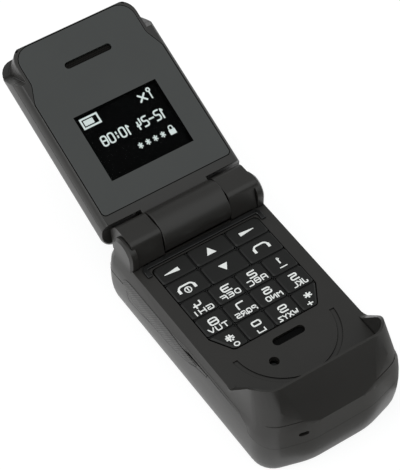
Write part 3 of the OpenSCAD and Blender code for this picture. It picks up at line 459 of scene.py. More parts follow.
form = bmesh.new()
reach = (GAUZE_LENGTH - GAUZE_WIDTH) / 2
middle_line = [Vector((GAUZE_MIDDLE[0] + x, GAUZE_MIDDLE[1])) for x in (-reach, reach)]
lay_stroke(form, middle_line, GAUZE_WIDTH * 0.98, on_face(GAUZE_LOW), 0.04 * MM)
# Black polyester threads with no gleam and small dark holes between them: near-black painted shade for the
# slot.
slot_shade_gauze = woven("woven_slot_shade_gauze", "#0d0d0d", "#040404", GAUZE_PITCH_MM)
soft_edges(piece_from(form, "microphone_gauze", slot_shade_gauze, "base"), 0.01 * MM)

# ---- Grips on the sides -----------------------------------------------------------
# A strip for the fingers on each side: a thin skin of the casing's plastic, with slanted
# ribs moulded across it, over the strip that is let into the shell. It is round at the
# hinge end and runs out to a point, and the line where the shells part follows it.

# PAD_DARK is painted shade in the rib furrows, PAD_PALE a painted highlight on the rib crests.
PAD_DARK = "#151413"
PAD_PALE = "#3a3835"
RIB_PITCH_MM = 0.5
PAD_PROUD = 0.05 * MM
PAD_STEPS_ALONG, PAD_STEPS_UP = 8, 16
LOOK = 0.16
GAP_HALF, GAP_LIFT = 0.08, 0.006 * MM
# The parting line at the ear: its height in mm at one place along the side, and how fast it climbs.
EAR_LINE_AT, EAR_LINE_HEIGHT, EAR_LINE_CLIMB = 22, 6.28, 0.045
UNDER_PAD = 0.1
# Along the side in mm from the middle: the pad's lower and upper edge above the table.
PAD = [
    (16.85, 6.85, 7.25),
    (16.65, 6.45, 7.75),
    (16.2, 6.0, 8.1),
    (15.5, 5.66, 8.3),
    (13.85, 5.28, 8.38),
    (11.05, 5.12, 8.42),
    (8.85, 5.18, 8.45),
    (6.85, 5.28, 8.46),
    (4.95, 5.4, 8.36),
    (3.25, 5.6, 8.22),
    (1.55, 5.95, 8.08),
    (-0.2, 6.5, 8.0),
    (-1.7, 7.1, 7.95),
    (-2.9, 7.72, 7.92),
]


def ribbed_abs(name, dark, pale, pitch_mm):
    """ABS with fine slanted ribs moulded in: painted highlights on the crests and painted shade in the
    furrows, so the stripes seem to catch the light one by one.
    """
    made, tree, shader, place = new_material(name, roughness=0.4, ior=1.53)
    split = add(tree, "SeparateXYZ", Vector=place)
    slant = add(tree, "Math", {"operation": "ADD"}, i0=split.outputs["Y"], i1=split.outputs["Z"])
    turns = 2 * math.pi * per_mm(pitch_mm)
    wave = add(tree, "Math", {"operation": "MULTIPLY"}, i0=slant.outputs[0], i1=turns)
    ridge = add(tree, "Math", {"operation": "SINE"}, i0=wave.outputs[0])
    wear = add(tree, "TexNoise", Vector=place, Scale=per_mm(1.2), Detail=3.0)
    level = add(tree, "MapRange", Value=ridge.outputs[0], From_Min=-1.0, From_Max=1.0)
    faded = add(tree, "Math", {"operation": "MULTIPLY"}, i0=level.outputs[0], i1=wear.outputs[0])
    tone = add(tree, "Mix", {"data_type": "RGBA"}, i0=faded.outputs[0], i6=linear(dark), i7=linear(pale))
    raised = add(tree, "Bump", Height=faded.outputs[0], Strength=0.9, Distance=0.09 * MM)
    tree.links.new(tone.outputs[2], shader.inputs["Base Color"])
    tree.links.new(raised.outputs[0], shader.inputs["Normal"])
    return made


def on_wall(trees, way, y, z):
    """How far out the side wall stands round that place, on the side that way points to."""
    hits = []
    # Looking a little to each side bridges the narrow gap round the strip below.
    nearby = ((0, 0), (0, LOOK), (0, -LOOK), (LOOK, 0), (-LOOK, 0), (0, LOOK / 2), (0, -LOOK / 2))
    for along, up in nearby:
        start = Vector((way * 0.03, (y + along) * MM, (z + up) * MM))
        hits += [t.ray_cast(start, Vector((-way, 0, 0)))[0] for t in trees]
    return max(way * hit.x for hit in hits if hit)


# A near-black strip laid in the gap between two shells, no wider than a hair: painted shadow for the gap.
shadow_gap, tree, shader, place = new_material("painted_parting_shadow", roughness=0.9)
shader.inputs["Specular IOR Level"].default_value = 0.05
dust = add(tree, "TexNoise", Vector=place, Scale=per_mm(0.8), Detail=2.0).outputs[0]
tone = add(tree, "Mix", {"data_type": "RGBA"}, i0=dust, i6=linear("#060606"), i7=linear("#151514"))
tree.links.new(tone.outputs[2], shader.inputs["Base Color"])
pad_abs = ribbed_abs("rib_moulded_abs", PAD_DARK, PAD_PALE, RIB_PITCH_MM)
walls = []
for node in ("front_casing", "rear_casing", "left_grip", "right_grip"):
    wall = frame["nodes"][node].data
    walls.append(BVHTree.FromPolygons([v.co for v in wall.vertices], [p.vertices for p in wall.polygons]))
for grip, way in (("left_grip", -1), ("right_grip", 1)):
    rounded_copy(grip, spark_eroded_abs, 0.02 * MM)
    form = bmesh.new()
    grid = []
    sections = [
        [a + (b - a) * t / PAD_STEPS_ALONG for a, b in zip(one, two)]
        for one, two in zip(PAD, PAD[1:])
        for t in range(PAD_STEPS_ALONG)
    ] + [PAD[-1]]
    for y, low, high in sections:
        column = []
        for k in range(-1, PAD_STEPS_UP + 2):
            z = low + (high - low) * min(max(k, 0), PAD_STEPS_UP) / PAD_STEPS_UP
            out = on_wall(walls, way, y, z) + (PAD_PROUD if 0 <= k <= PAD_STEPS_UP else -PAD_PROUD)
            column.append(form.verts.new((way * out, y * MM, z * MM)))
        grid.append(column)
    for one, two in zip(grid, grid[1:]):
        for k in range(len(one) - 1):
            form.faces.new((one[k], one[k + 1], two[k + 1], two[k]))
    bmesh.ops.recalc_face_normals(form, faces=form.faces)
    if sum(side.normal.x for side in form.faces) * way < 0:
        bmesh.ops.reverse_faces(form, faces=form.faces)
    for side in form.faces:
        side.smooth = True
    piece_from(form, grip + "_pad", pad_abs, "base")
    # A strip of painted shadow along the line where the shells part at the ear, which goes on along the
    # pad's lower edge.
    form = bmesh.new()
    rows = []
    at_ear = [quarter / 4 for quarter in range(87, 67, -1)]
    line = [(y, EAR_LINE_HEIGHT + (EAR_LINE_AT - y) * EAR_LINE_CLIMB) for y in at_ear]
    line += [(y + 0.02, low - UNDER_PAD) for y, low, high in sections]
    for y, z in line:
        rows.append([])
        for step in (-GAP_HALF, GAP_HALF):
            out = on_wall(walls, way, y, z + step) + GAP_LIFT
            rows[-1].append(form.verts.new((way * out, y * MM, (z + step) * MM)))
    for one, two in zip(rows, rows[1:]):
        form.faces.new((one[0], one[1], two[1], two[0]) if way < 0 else (one[0], two[0], two[1], one[1]))
    piece_from(form, grip + "_parting", shadow_gap, "base")

# ---- Keypad ---------------------------------------------------------------------
# Eighteen caps of black ABS on one silicone mat. Their mould is polished finer than the
# casing's, so they look darker, and their signs are screen printed in white ink.

KEY_BLACK = "#151514"
KEY_PALE = "#191918"
# The colour of the painted sheen along each cap's edges.
KEY_EDGE_HIGHLIGHT = "#222220"
KEY_RADIUS = 0.045 * MM
SILICONE = "#4b4c4d"
INK_WHITE = "#fbfcfa"
INK_THIN = "#eceeeb"
INK_HEIGHT = 0.02 * MM

# Grey pressed silicone for the mat, with a painted highlight along its edges and painted shade in its
# crevices.
dressed(
    ["key_mat"], moulded("pressed_silicone_rubber", SILICONE, "#434445", "#5b5c5d", 0.35, 0.6, 0.2, 1.41)
)
# Fine textured ABS: nearly black, with a narrow painted sheen on each cap's chamfer and painted shade in
# its crevices.
fine_textured_abs = moulded(
    "fine_textured_key_abs", KEY_BLACK, KEY_PALE, KEY_EDGE_HIGHLIGHT, 0.12, 0.42, 0.2, shine=0.3
)


def printed_ink(name, full, thin):
    """Screen printed ink: a flat white film, very slightly uneven where the mesh left it thin."""
    made, tree, shader, place = new_material(name, roughness=0.5, ior=1.48)
    film = add(tree, "TexNoise", Vector=place, Scale=per_mm(0.5), Detail=2.0)
    tone = add(tree, "Mix", {"data_type": "RGBA"}, i0=film.outputs[0], i6=linear(full), i7=linear(thin))
    tree.links.new(tone.outputs[2], shader.inputs["Base Color"])
    return made


white_ink = printed_ink("white_screen_printed_ink", INK_WHITE, INK_THIN)

# Each sign's strokes on a grid 4 wide and 6 high, from its lower left corner.
BOX = [(0, 0), (4, 0), (4, 6), (0, 6), (0, 0)]
STROKES = {
    "0": [BOX],
    "1": [[(0.3, 4.7), (1.6, 6), (1.6, 0)]],
    "2": [[(0, 6), (4, 6), (4, 3.2), (0, 3.2), (0, 0), (4, 0)]],
    "3": [[(0, 6), (4, 6), (4, 0), (0, 0)], [(1, 3.1), (4, 3.1)]],
    "4": [[(0.4, 6), (0.4, 2.2), (4, 2.2)], [(3.1, 4.4), (3.1, 0)]],
    "5": [[(4, 6), (0, 6), (0, 3.4), (4, 3.4), (4, 0), (0, 0)]],
    "6": [[(3.6, 6), (0, 6), (0, 0), (4, 0), (4, 3.4), (0, 3.4)]],
    "7": [[(0.2, 6), (3.8, 6), (3.8, 0)]],
    "8": [BOX, [(0, 3.1), (4, 3.1)]],
    "9": [[(0.4, 0), (4, 0), (4, 6), (0, 6), (0, 2.8), (4, 2.8)]],
    "#": [[(1.1, 0), (1.5, 6)], [(2.6, 0), (3, 6)], [(0, 4), (4, 4)], [(0, 2), (4, 2)]],
    "*": [[(2, 0.7), (2, 5.3)], [(0, 1.8), (4, 4.2)], [(0, 4.2), (4, 1.8)]],
    "+": [[(2, 0.6), (2, 5.4)], [(0, 3), (4, 3)]],
    "-": [[(0.2, 3), (3.8, 3)]],
    ":": [[(1, 1.4), (1, 2.2)], [(1, 4), (1, 4.8)]],
    "A": [[(0, 0), (0, 6), (4, 6), (4, 0)], [(0, 2.6), (4, 2.6)]],
    "B": [BOX, [(0, 3.1), (4, 3.1)]],
    "C": [[(4, 6), (0, 6), (0, 0), (4, 0)]],
    "D": [[(0, 0), (2.6, 0), (4, 1.4), (4, 4.6), (2.6, 6), (0, 6), (0, 0)]],
    "E": [[(4, 6), (0, 6), (0, 0), (4, 0)], [(0, 3.1), (3.4, 3.1)]],
    "F": [[(4, 6), (0, 6), (0, 0)], [(0, 3.1), (3.4, 3.1)]],
    "G": [[(4, 6), (0, 6), (0, 0), (4, 0), (4, 2.9), (2.2, 2.9)]],
    "H": [[(0, 0), (0, 6)], [(4, 0), (4, 6)], [(0, 3), (4, 3)]],
    "I": [[(1, 0), (1, 6)]],
    "J": [[(3.6, 6), (3.6, 0), (0, 0), (0, 1.8)]],
    "K": [[(0, 0), (0, 6)], [(4, 6), (0.4, 3), (4, 0)]],
    "L": [[(0, 6), (0, 0), (4, 0)]],
    "M": [[(0, 0), (0, 6), (2.2, 3), (4.4, 6), (4.4, 0)]],
    "N": [[(0, 0), (0, 6), (4, 0), (4, 6)]],
    "O": [BOX],
    "P": [[(0, 0), (0, 6), (4, 6), (4, 2.9), (0, 2.9)]],
    "Q": [BOX, [(2.6, 1.6), (4.4, -0.6)]],
    "R": [[(0, 0), (0, 6), (4, 6), (4, 2.9), (0, 2.9)], [(1.8, 2.9), (4, 0)]],
    "S": [[(4, 6), (0, 6), (0, 3.1), (4, 3.1), (4, 0), (0, 0)]],
    "T": [[(0, 6), (4, 6)], [(2, 6), (2, 0)]],
    "U": [[(0, 6), (0, 0), (4, 0), (4, 6)]],
    "V": [[(0, 6), (2, 0), (4, 6)]],
    "W": [[(0, 6), (1.1, 0), (2.4, 4), (3.7, 0), (4.8, 6)]],
    "X": [[(0, 0), (4, 6)], [(0, 6), (4, 0)]],
    "Y": [[(0, 6), (2, 3), (4, 6)], [(2, 3), (2, 0)]],
    "Z": [[(0, 6), (4, 6), (0, 0), (4, 0)]],
    " ": [],
}
NARROW = {"I": 2.0, ":": 2.0, "1": 2.2, "M": 4.4, "W": 4.8, " ": 1.6}
LETTER_GAP = 1.8


def word_lines(word, width, height, mirrored=True):
    """The strokes of a word in a box of that size round its middle. The phone shows its signs mirrored."""
    lines, run = [], 0.0
    for letter in word:
        for stroke in STROKES[letter]:
            lines.append([(run + x, y) for x, y in stroke])
        run += NARROW.get(letter, 4.0) + LETTER_GAP
    run -= LETTER_GAP
    across, up = width / run * (-1 if mirrored else 1), height / 6
    return [[((x - run / 2) * across, (y - 3) * up) for x, y in line] for line in lines]


def ring(radius_x, radius_y, steps=20):
    """A closed oval of points round the middle."""
    turn = [2 * math.pi * i / steps for i in range(steps)] + [0]
    return [(radius_x * math.cos(a), radius_y * math.sin(a)) for a in turn]


DIGIT_PEN, LETTER_PEN = 0.25, 0.19
ARCH_PEN, FOOT_PEN, POWER_PEN, POWER_RADIUS = 0.3, 0.46, 0.18, 0.52
# A handset as drawn at its full width in mm, and narrowed where a sign is narrower.
HANDSET_WIDTH = 2.89
HANDSET = [(-1.34, -0.52), (-1.34, 0.1), (-0.9, 0.5), (0.9, 0.5), (1.34, 0.1), (1.34, -0.52)]
# Node, sign, how far its middle is from the cap's middle to the right and up, its width and height in mm.
SIGNS = [
    ("key_4", "4", -0.20, 0.16, 1.67, 1.33),
    ("key_4", "GHI", 0.03, -1.20, 3.44, 0.96),
    ("key_3", "3", 0.16, 0.36, 1.67, 1.29),
    ("key_3", "DEF", 0.16, -1.00, 3.44, 1.00),
    ("key_2", "2", 0.06, 0.38, 1.44, 1.33),
    ("key_2", "ABC", 0.15, -0.97, 3.40, 1.07),
    ("key_1", "1", 0.08, 0.36, 0.56, 1.29),
    ("key_1", "-", 0.08, -1.04, 1.44, 0.96),
    ("key_8", "8", 0.00, 0.15, 1.62, 1.42),
    ("key_8", "TUV", 0.05, -1.24, 3.40, 1.00),
    ("key_7", "7", 0.20, 0.38, 1.60, 1.33),
    ("key_7", "PQRS", 0.24, -1.10, 3.73, 0.96),
    ("key_6", "6", 0.15, 0.46, 1.49, 1.29),
    ("key_6", "MNO", 0.45, -1.01, 2.89, 1.00),
    ("key_5", "5", 0.16, 0.38, 1.38, 1.33),
    ("key_5", "JKL", 0.31, -1.05, 2.56, 1.07),
    ("key_hash", "#", 0.24, 0.10, 1.38, 1.27),
    ("key_hash", "ring", 0.54, -1.31, 1.00, 0.80),
    ("key_0", "0", 0.20, 0.21, 1.60, 1.04),
    ("key_0", "tray", 0.16, -1.32, 1.22, 0.50),
    ("key_9", "9", 0.18, 0.22, 1.56, 1.38),
    ("key_9", "WXYZ", 0.14, -1.25, 3.60, 0.93),
    ("key_star", "*", -0.09, 0.25, 1.22, 1.33),
    ("key_star", "+", -0.67, -1.23, 1.04, 0.96),
    ("key_soft_left", "wedge", -0.66, -0.28, -2.56, 0.76),
    ("key_soft_right", "wedge", -0.05, -0.08, 2.56, 0.71),
    ("key_up", "arrow", -0.23, -0.03, 1.67, 1.40),
    ("key_down", "arrow", -0.08, -0.09, 1.62, -1.29),
    ("key_end", "handset", -0.45, -0.10, 2.89, 1.33),
    ("key_call", "handset", 0.05, 0.10, 2.67, 1.10),
]
legends = {}
for node, sign, right, up, width, height in SIGNS:
    low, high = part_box(node)
    middle = Vector(((low.x + high.x) / 2 + right * MM, (low.y + high.y) / 2 + up * MM, high.z))
    form = legends.setdefault(node, bmesh.new())

    def on_cap(p, rise, middle=middle):
        return (middle.x + p[0] * MM, middle.y + p[1] * MM, middle.z + rise)

    if sign == "wedge":
        lay_shape(
            form,
            [(-width / 2, -height / 2), (width / 2, -0.06), (width / 2, 0.06), (-width / 2, height / 2)],
            on_cap,
            INK_HEIGHT,
        )
    elif sign == "arrow":
        arrow = [(-width / 2, -height / 2), (width / 2, -height / 2), (0, height / 2)]
        lay_shape(form, arrow, on_cap, INK_HEIGHT)
    elif sign == "ring":
        circle = [Vector(p) for p in ring(width / 2.4, height / 2.4)]
        lay_stroke(form, circle, LETTER_PEN, on_cap, INK_HEIGHT)
    elif sign == "tray":
        half, deep = width / 2, height / 2
        tray = [Vector(p) for p in ((-half, deep), (-half, -deep), (half, -deep), (half, deep))]
        lay_stroke(form, tray, LETTER_PEN, on_cap, INK_HEIGHT)
    elif sign == "handset":
        arch = [(x * width / HANDSET_WIDTH, y) for x, y in HANDSET]
        lay_stroke(form, softened(arch, 0.45), ARCH_PEN, on_cap, INK_HEIGHT)
        for end in (-1, 1):
            foot = [Vector((end * 1.34 * width / HANDSET_WIDTH, y)) for y in (-0.16, -0.5)]
            lay_stroke(form, foot, FOOT_PEN, on_cap, INK_HEIGHT * 1.2)
        if node == "key_end":
            power = [Vector(p) + Vector((0, -0.55)) for p in ring(POWER_RADIUS, POWER_RADIUS)]
            lay_stroke(form, power, POWER_PEN, on_cap, INK_HEIGHT * 1.4)
            lay_stroke(form, [Vector((0, -0.25)), Vector((0, -0.75))], 0.2, on_cap, INK_HEIGHT * 1.5)
    else:
        pen = DIGIT_PEN if len(sign) == 1 and sign not in "+-" else LETTER_PEN
        # Each stroke differs a little in height from the last, so that crossing ones share no face.
        for step, line in enumerate(word_lines(sign, width - pen, height - pen)):
            thick = INK_HEIGHT * (1 + 0.08 * (step % 3))
            lay_stroke(form, softened(line, 0.26 * height), pen, on_cap, thick)
# Ribs of the silicone mat stand in the gaps between the caps, to keep dust out.
RIB_HALF, RIB_TOP = 0.09, 10.19
KEYS_SIDE, KEYS_NEAR, KEYS_FAR = 9.55, -4.95, 14.1
ROW_GAPS, NAVIGATION_GAPS, NUMBER_GAPS = (10.55, 6.55, 2.67, -1.21), (-3.5, 3.5), (-4.875, 0, 4.875)
form = bmesh.new()
rib_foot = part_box("key_mat")[1].z / MM - SUNK / MM
strips = [(-KEYS_SIDE, KEYS_SIDE, y - RIB_HALF, y + RIB_HALF) for y in ROW_GAPS]
strips += [(x - RIB_HALF, x + RIB_HALF, ROW_GAPS[1], KEYS_FAR) for x in NAVIGATION_GAPS]
strips += [(x - RIB_HALF, x + RIB_HALF, KEYS_NEAR, ROW_GAPS[1]) for x in NUMBER_GAPS]
for left, right, near, away in strips:
    plan = [Vector(p) for p in ((left, near), (right, near), (right, away), (left, away))]
    lay_shape(form, plan, on_face(rib_foot), (RIB_TOP - rib_foot) * MM)
bmesh.ops.recalc_face_normals(form, faces=form.faces)
# Black pressed silicone: duller than the caps, so the gaps between them stay soft; a painted highlight
# along its edges and painted shade in its crevices.
black_silicone = moulded(
    "black_silicone_rubber", "#141414", "#181818", "#1e1e1e", 0.35, 0.6, 0.2, 1.41, shine=0.4
)
piece_from(form, "keypad_web", black_silicone, "base")

for node in [n for n in frame["nodes"] if n.startswith("key_") and n not in ("key_domes", "key_mat")]:
    rounded_copy(node, fine_textured_abs, KEY_RADIUS)
    if node in legends:
        piece_from(legends[node], node + "_legend", white_ink, frame["nodes"][node]["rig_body"])

# ---- Hinge ----------------------------------------------------------------------
# A sprung cam in a steel tube turns inside the lid's barrel on a hardened pin, with an
# oiled bronze bush at the other end. The ribbon to the screen is copper on amber film.

AMBER = "#a8682a"
AMBER_TRACK = "#7d4519"
TRACK_MM = 0.5
WAVES_PER_SCALE = 20  # a wave texture repeats about that often for each unit of its scale
hinge = next(j for j in frame["joints"] if j["name"] == "lid_hinge")["pos_m"]


def film_ribbon(name, film, track, pitch_mm):
    """Flexible circuit: copper tracks seen as even darker lines through amber film."""
    made, tree, shader, place = new_material(name, roughness=0.32, ior=1.7)
    bands = {"bands_direction": "X"}
    rate = per_mm(pitch_mm) / WAVES_PER_SCALE
    lines = add(tree, "TexWave", bands, Vector=place, Scale=rate, Distortion=0.0).outputs["Fac"]
    tone = add(tree, "Mix", {"data_type": "RGBA"}, i0=lines, i6=linear(film), i7=linear(track))
    raised = add(tree, "Bump", Height=lines, Strength=0.3, Distance=0.02 * MM)
    tree.links.new(tone.outputs[2], shader.inputs["Base Color"])
    tree.links.new(raised.outputs[0], shader.inputs["Normal"])
    return made


ground_steel = rolled_metal("ground_hardened_steel", "#b6b8ba", "#8d9092", 0.22, 0.08)
dressed(["hinge_shaft", "hinge_cartridge"], ground_steel)
dressed(["hinge_bush"], rolled_metal("oiled_sintered_bronze", "#9a7443", "#7c5a32", 0.42, 0.1))
dressed(["base_flex", "display_flex"], film_ribbon("amber_flexible_circuit", AMBER, AMBER_TRACK, TRACK_MM))

# ---- Screws ----------------------------------------------------------------------
# Thread-forming screws of the lid and the base, zinc plated and passivated black.

passivated_zinc = rolled_metal("black_passivated_zinc", "#56575a", "#3d3e41", 0.38, 0.2)
dressed(["casing_screws", "lid_screws"], passivated_zinc)

# ---- Lid shells --------------------------------------------------------------------
# The lid's outer and inner shells, moulded like the base. The inner one carries the barrel.

for shell in ("lid_outer_casing", "lid_inner_casing"):
    rounded_copy(shell, spark_eroded_abs, MOULD_RADIUS)

# ---- Lid plate ----------------------------------------------------------------------
# The thin plate over the inside of the lid, glued into a recess. Its mould is finer than
# the casing's, so it looks greyer and smoother, and it frames the screen.

PLATE_DARK = "#333534"
PLATE_PALE = "#383a39"
# The colour of the painted highlight along the plate's edges.
PLATE_EDGE_HIGHLIGHT = "#4b4d4c"
plate_abs = moulded("fine_textured_plate_abs", PLATE_DARK, PLATE_PALE, PLATE_EDGE_HIGHLIGHT, 0.14, 0.33, 0.15)
rounded_copy("lid_plate", plate_abs, 0.05 * MM)

# ---- Screen --------------------------------------------------------------------------
# A black display panel behind a clear acrylic window with an anti-reflection coat. The
# lit signs are the panel's own cells: a battery, an aerial, plain figures and a lock.

GLASS_TINT = "#060707"
PANEL_BLACK = "#020202"
CELL_GREY = "#050606"
LIT = "#e4f4f1"
CELL_MM = 0.21
LEAN = math.radians(22)
PANEL_TOP = -0.15
SIGN_LIFT, SIGN_THICK, SIGN_STEP = 0.012, 0.012, 0.002


def on_lid(p, rise=0.0):
    """A point of the lid at rest: mm across and mm towards the free end, from the hinge, and its rise."""
    along, above = p[1] * MM, rise
    return (
        hinge[0] + p[0] * MM,
        hinge[1] + along * math.cos(LEAN) - above * math.sin(LEAN),
        hinge[2] + along * math.sin(LEAN) + above * math.cos(LEAN),
    )


def coated_acrylic(name, tint):
    """Thin clear acrylic with an anti-reflection coat: little of it shows but a faint, soft gleam."""
    made, tree, shader, place = new_material(name, roughness=0.12, ior=1.49)
    shader.inputs["Alpha"].default_value = 0.12
    shader.inputs["Specular IOR Level"].default_value = 0.04
    wave = add(tree, "TexNoise", Vector=place, Scale=per_mm(6), Detail=1.0).outputs[0]
    tone = add(tree, "Mix", {"data_type": "RGBA"}, i0=wave, i6=linear(tint), i7=linear("#0a0b0b"))
    tree.links.new(tone.outputs[2], shader.inputs["Base Color"])
    return made


def display_cells(name, black, grey, pitch_mm):
    """A dark panel of unlit cells in rows and columns, with black lines between them."""
    made, tree, shader, place = new_material(name, roughness=0.35, ior=1.5)
    shader.inputs["Specular IOR Level"].default_value = 0.03
    cells = add(
        tree,
        "TexBrick",
        {"offset": 0.0, "squash": 1.0},
        Vector=place,
        Scale=per_mm(1),
        Mortar_Size=pitch_mm * 0.12,
        Brick_Width=pitch_mm,
        Row_Height=pitch_mm,
        Color1=linear(grey),
        Color2=linear(grey),
        Mortar=linear(black),
    )
    tree.links.new(cells.outputs["Color"], shader.inputs["Base Color"])
    return made


def lit_cells(name, colour):
    """Lit cells: they glow evenly at the level of white paper, with a faint ripple from row to row."""
    made, tree, shader, place = new_material(name, roughness=0.5)
    rows = add(tree, "TexNoise", Vector=place, Scale=per_mm(0.4), Detail=1.0).outputs[0]
    glow = add(tree, "Mix", {"data_type": "RGBA"}, i0=rows, i6=linear(colour), i7=linear("#f4fffd"))
    tree.links.new(glow.outputs[2], shader.inputs["Emission Color"])
    shader.inputs["Emission Strength"].default_value = 0.92
    shader.inputs["Base Color"].default_value = linear("#101010")
    return made


coated = coated_acrylic("coated_clear_acrylic", GLASS_TINT)
window_piece = rounded_copy("display_window", coated, 0.04 * MM)
# The window's rim is painted black, so that no light leaks in round the panel.
black_paint, tree, shader, place = new_material("matt_black_rim_paint", roughness=0.8)
shader.inputs["Specular IOR Level"].default_value = 0.05
streaks = add(tree, "TexNoise", Vector=place, Scale=per_mm(0.6), Detail=2.0).outputs[0]
tone = add(tree, "Mix", {"data_type": "RGBA"}, i0=streaks, i6=linear("#020202"), i7=linear("#050505"))
tree.links.new(tone.outputs[2], shader.inputs["Base Color"])
window_piece.data.materials.append(black_paint)
up_lid = Vector((0, -math.sin(LEAN), math.cos(LEAN)))
for side in window_piece.data.polygons:
    side.material_index = 1 if abs(side.normal.dot(up_lid)) < 0.5 else 0
dressed(["display_module"], display_cells("unlit_display_cells", PANEL_BLACK, CELL_GREY, CELL_MM))
lit_white = lit_cells("lit_white_cells", LIT)


def lit_sign(name, lines, pen, middle, shapes=(), soft=0.0):
    """A lit sign on the panel: strokes and filled shapes round a middle, in mm on the lid."""
    form = bmesh.new()

    def on_panel(p, rise):
        return on_lid((middle[0] + p[0], middle[1] + p[1]), (PANEL_TOP + SIGN_LIFT) * MM + rise)

    for step, line in enumerate(lines):
        points = softened(line, soft) if soft else [Vector(p) for p in line]
        lay_stroke(form, points, pen, on_panel, (SIGN_THICK + SIGN_STEP * (step % 3)) * MM)
    for outline in shapes:
        lay_shape(form, outline, on_panel, SIGN_THICK * MM)
    return piece_from(form, name, lit_white, "lid")


def block(low_x, high_x, low_y, high_y):
    """A square-cornered outline."""
    return [(low_x, low_y), (high_x, low_y), (high_x, high_y), (low_x, high_y)]


CASE = block(-1.45, 1.45, -0.8, 0.8)
lit_sign("screen_battery", [CASE + CASE[:1]], 0.3, (-5.1, 20.36), [block(-1.1, 0.55, -0.45, 0.45)])
CROSS = [[(-0.55, -0.55), (0.55, 0.55)], [(-0.55, 0.55), (0.55, -0.55)]]
lit_sign("screen_cross", CROSS, 0.3, (4.31, 20.1))
lit_sign(
    "screen_aerial",
    [[(0, -0.9), (0, 0.3)], [(x, 0.6 + y) for x, y in ring(0.28, 0.3, 10)]],
    0.22,
    (5.75, 20.3),
)
lit_sign("screen_date", word_lines("12-24", 4.9, 1.62), 0.26, (3.56, 16.48), soft=0.4)
lit_sign("screen_time", word_lines("10:08", 5.0, 1.62), 0.26, (-2.75, 16.48), soft=0.4)
lit_sign(
    "screen_lock",
    [[(-0.32, 0.1), (-0.32, 0.75), (0.32, 0.75), (0.32, 0.1)]],
    0.18,
    (5.6, 13.35),
    [block(-0.55, 0.55, -0.75, 0.15)],
    soft=0.3,
)
lit_sign("screen_stars", word_lines("* * * *", 4.7, 1.1), 0.2, (1.9, 13.3))

# ---- Earpiece and the lid's small parts -------------------------------------------------
# A speaker behind a woven polyester mesh in the slot, and by the screen a small board and
# the magnet that tells the base that the lid is shut.

MESH_PITCH_MM = 0.3  # real acoustic mesh is nearer 0.1 mm, and is drawn coarser so that it shows

acoustic_mesh = woven("woven_polyester_mesh", "#1c1b19", "#090909", MESH_PITCH_MM)
rounded_copy("earpiece_mesh", acoustic_mesh, 0.03 * MM)
dressed(["earpiece"], drawn_steel)
dressed(["lid_board"], solder_mask)
dressed(["lid_magnet"], rolled_metal("nickel_plated_magnet", "#c4c2bb", "#a5a39c", 0.2, 0.4))

# ---- Table, lamps and camera --------------------------------------------------------------
# A white table that keeps a soft shadow, a pale room and one soft lamp to the upper left. A
# cloth lies and hangs in front, grey by the phone and black further off. Only reflections
# show it, and it gives the chin's slanted face its darkness.

TABLE_WHITE = "#e9e9e7"
TARGET = Vector((0.41, 15.88, 10.2)) * MM
TOWARDS_CAMERA = Vector((-0.3550, -0.5281, 0.7715))
DISTANCE = 323 * MM
LENS_MM = 161.77


def stage_plane(name, corners, material):
    """A flat board that belongs to the studio and not to the phone."""
    mesh = bpy.data.meshes.new(name)
    mesh.from_pydata(corners, [], [tuple(range(len(corners)))])
    mesh.materials.append(material)
    board = bpy.data.objects.new(name, mesh)
    bpy.context.scene.collection.objects.link(board)
    board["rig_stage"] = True
    return board


table_paint, tree, shader, place = new_material("matt_white_table", roughness=0.9)
mottle = add(tree, "TexNoise", Vector=place, Scale=per_mm(60), Detail=2.0).outputs[0]
tone = add(tree, "Mix", {"data_type": "RGBA"}, i0=mottle, i6=linear(TABLE_WHITE), i7=linear("#eeeeec"))
tree.links.new(tone.outputs[2], shader.inputs["Base Color"])
shader.inputs["Specular IOR Level"].default_value = 0.0
ray = add(tree, "LightPath").outputs
either = {"operation": "MAXIMUM"}
seen = add(tree, "Math", either, i0=ray["Is Camera Ray"], i1=ray["Is Glossy Ray"])
seen = add(tree, "Math", either, i0=seen.outputs[0], i1=ray["Is Transmission Ray"])
paper = add(tree, "BsdfDiffuse", Color=linear("#808080"))
white = add(tree, "Emission", Color=(1, 1, 1, 1), Strength=0.86)
lifted = add(tree, "AddShader", i0=paper.outputs[0], i1=white.outputs[0])
shown = add(tree, "MixShader", i0=seen.outputs[0], i1=shader.outputs[0], i2=lifted.outputs[0])
output = next(n for n in tree.nodes if n.type == "OUTPUT_MATERIAL")
tree.links.new(shown.outputs[0], output.inputs["Surface"])
stage_plane("table", [(-3, -3, 0), (3, -3, 0), (3, 3, 0), (-3, 3, 0)], table_paint)

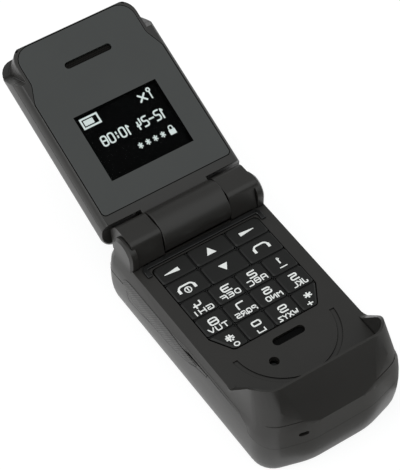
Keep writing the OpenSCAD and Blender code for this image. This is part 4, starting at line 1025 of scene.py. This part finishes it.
black_cloth, tree, shader, place = new_material("black_flag_cloth", roughness=0.95)
shader.inputs["Specular IOR Level"].default_value = 0.0
nap = add(tree, "TexNoise", Vector=place, Scale=per_mm(4)).outputs[0]
split = add(tree, "SeparateXYZ", Vector=place)
far = add(tree, "MapRange", Value=split.outputs["Y"], From_Min=-0.045, From_Max=-0.095)
near = add(tree, "Mix", {"data_type": "RGBA"}, i0=nap, i6=linear("#c6c4c2"), i7=linear("#d2d0ce"))
tone = add(tree, "Mix", {"data_type": "RGBA"}, i0=far.outputs[0], i6=near.outputs[2], i7=linear("#080808"))
tree.links.new(tone.outputs[2], shader.inputs["Base Color"])
for name, corners in {
    "flag_standing": [(-0.12, -0.42, 0.0), (0.25, -0.42, 0.0), (0.25, -0.42, 0.22), (-0.12, -0.42, 0.22)],
    "flag_lying": [
        (-0.010, -0.0225, 0.0004),
        (-0.12, -0.42, 0.0004),
        (0.25, -0.42, 0.0004),
        (0.12, 0.0, 0.0004),
        (0.0135, 0.0, 0.0004),
        (0.0135, -0.0225, 0.0004),
    ],
}.items():
    flag = stage_plane(name, corners, black_cloth)
    flag.visible_camera = flag.visible_diffuse = flag.visible_shadow = flag.visible_transmission = False

room = bpy.data.worlds.new("pale_room")
room.use_nodes = True
room.node_tree.nodes.clear()
# The room is dimmer high up behind the phone, where its flat face mirrors it.
tree = room.node_tree
towards = add(tree, "TexCoord").outputs["Generated"]
behind = add(tree, "VectorMath", {"operation": "DOT_PRODUCT"}, i0=towards, i1=(0.345, 0.62, 0.70))
behind = behind.outputs["Value"]
dim = add(tree, "MapRange", Value=behind, From_Min=0.75, From_Max=0.95, To_Min=0.84, To_Max=0.38)
sky = add(tree, "Background", Color=linear("#f7fafa"), Strength=dim.outputs[0])
add(tree, "OutputWorld", Surface=sky.outputs[0])
bpy.context.scene.world = room

lamp_data = bpy.data.lights.new("soft_lamp", "AREA")
lamp_data.shape = "SQUARE"
lamp_data.size = 0.5
lamp_data.energy = 1.4
lamp = bpy.data.objects.new("soft_lamp", lamp_data)
lamp.location = (-0.35, 0.15, 0.7)
lamp.rotation_euler = (TARGET - lamp.location).to_track_quat("-Z", "Y").to_euler()
bpy.context.scene.collection.objects.link(lamp)

camera_data = bpy.data.cameras.new("photo_camera")
camera_data.sensor_width = 36
camera_data.lens = LENS_MM
camera_data.clip_start = 0.02
camera_data.clip_end = 10
camera = bpy.data.objects.new("photo_camera", camera_data)
camera.location = TARGET + TOWARDS_CAMERA.normalized() * DISTANCE
camera.rotation_euler = (-TOWARDS_CAMERA).to_track_quat("-Z", "Y").to_euler()
bpy.context.scene.collection.objects.link(camera)
bpy.context.scene.camera = camera
bpy.context.scene.view_settings.view_transform = "Standard"

low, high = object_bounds()
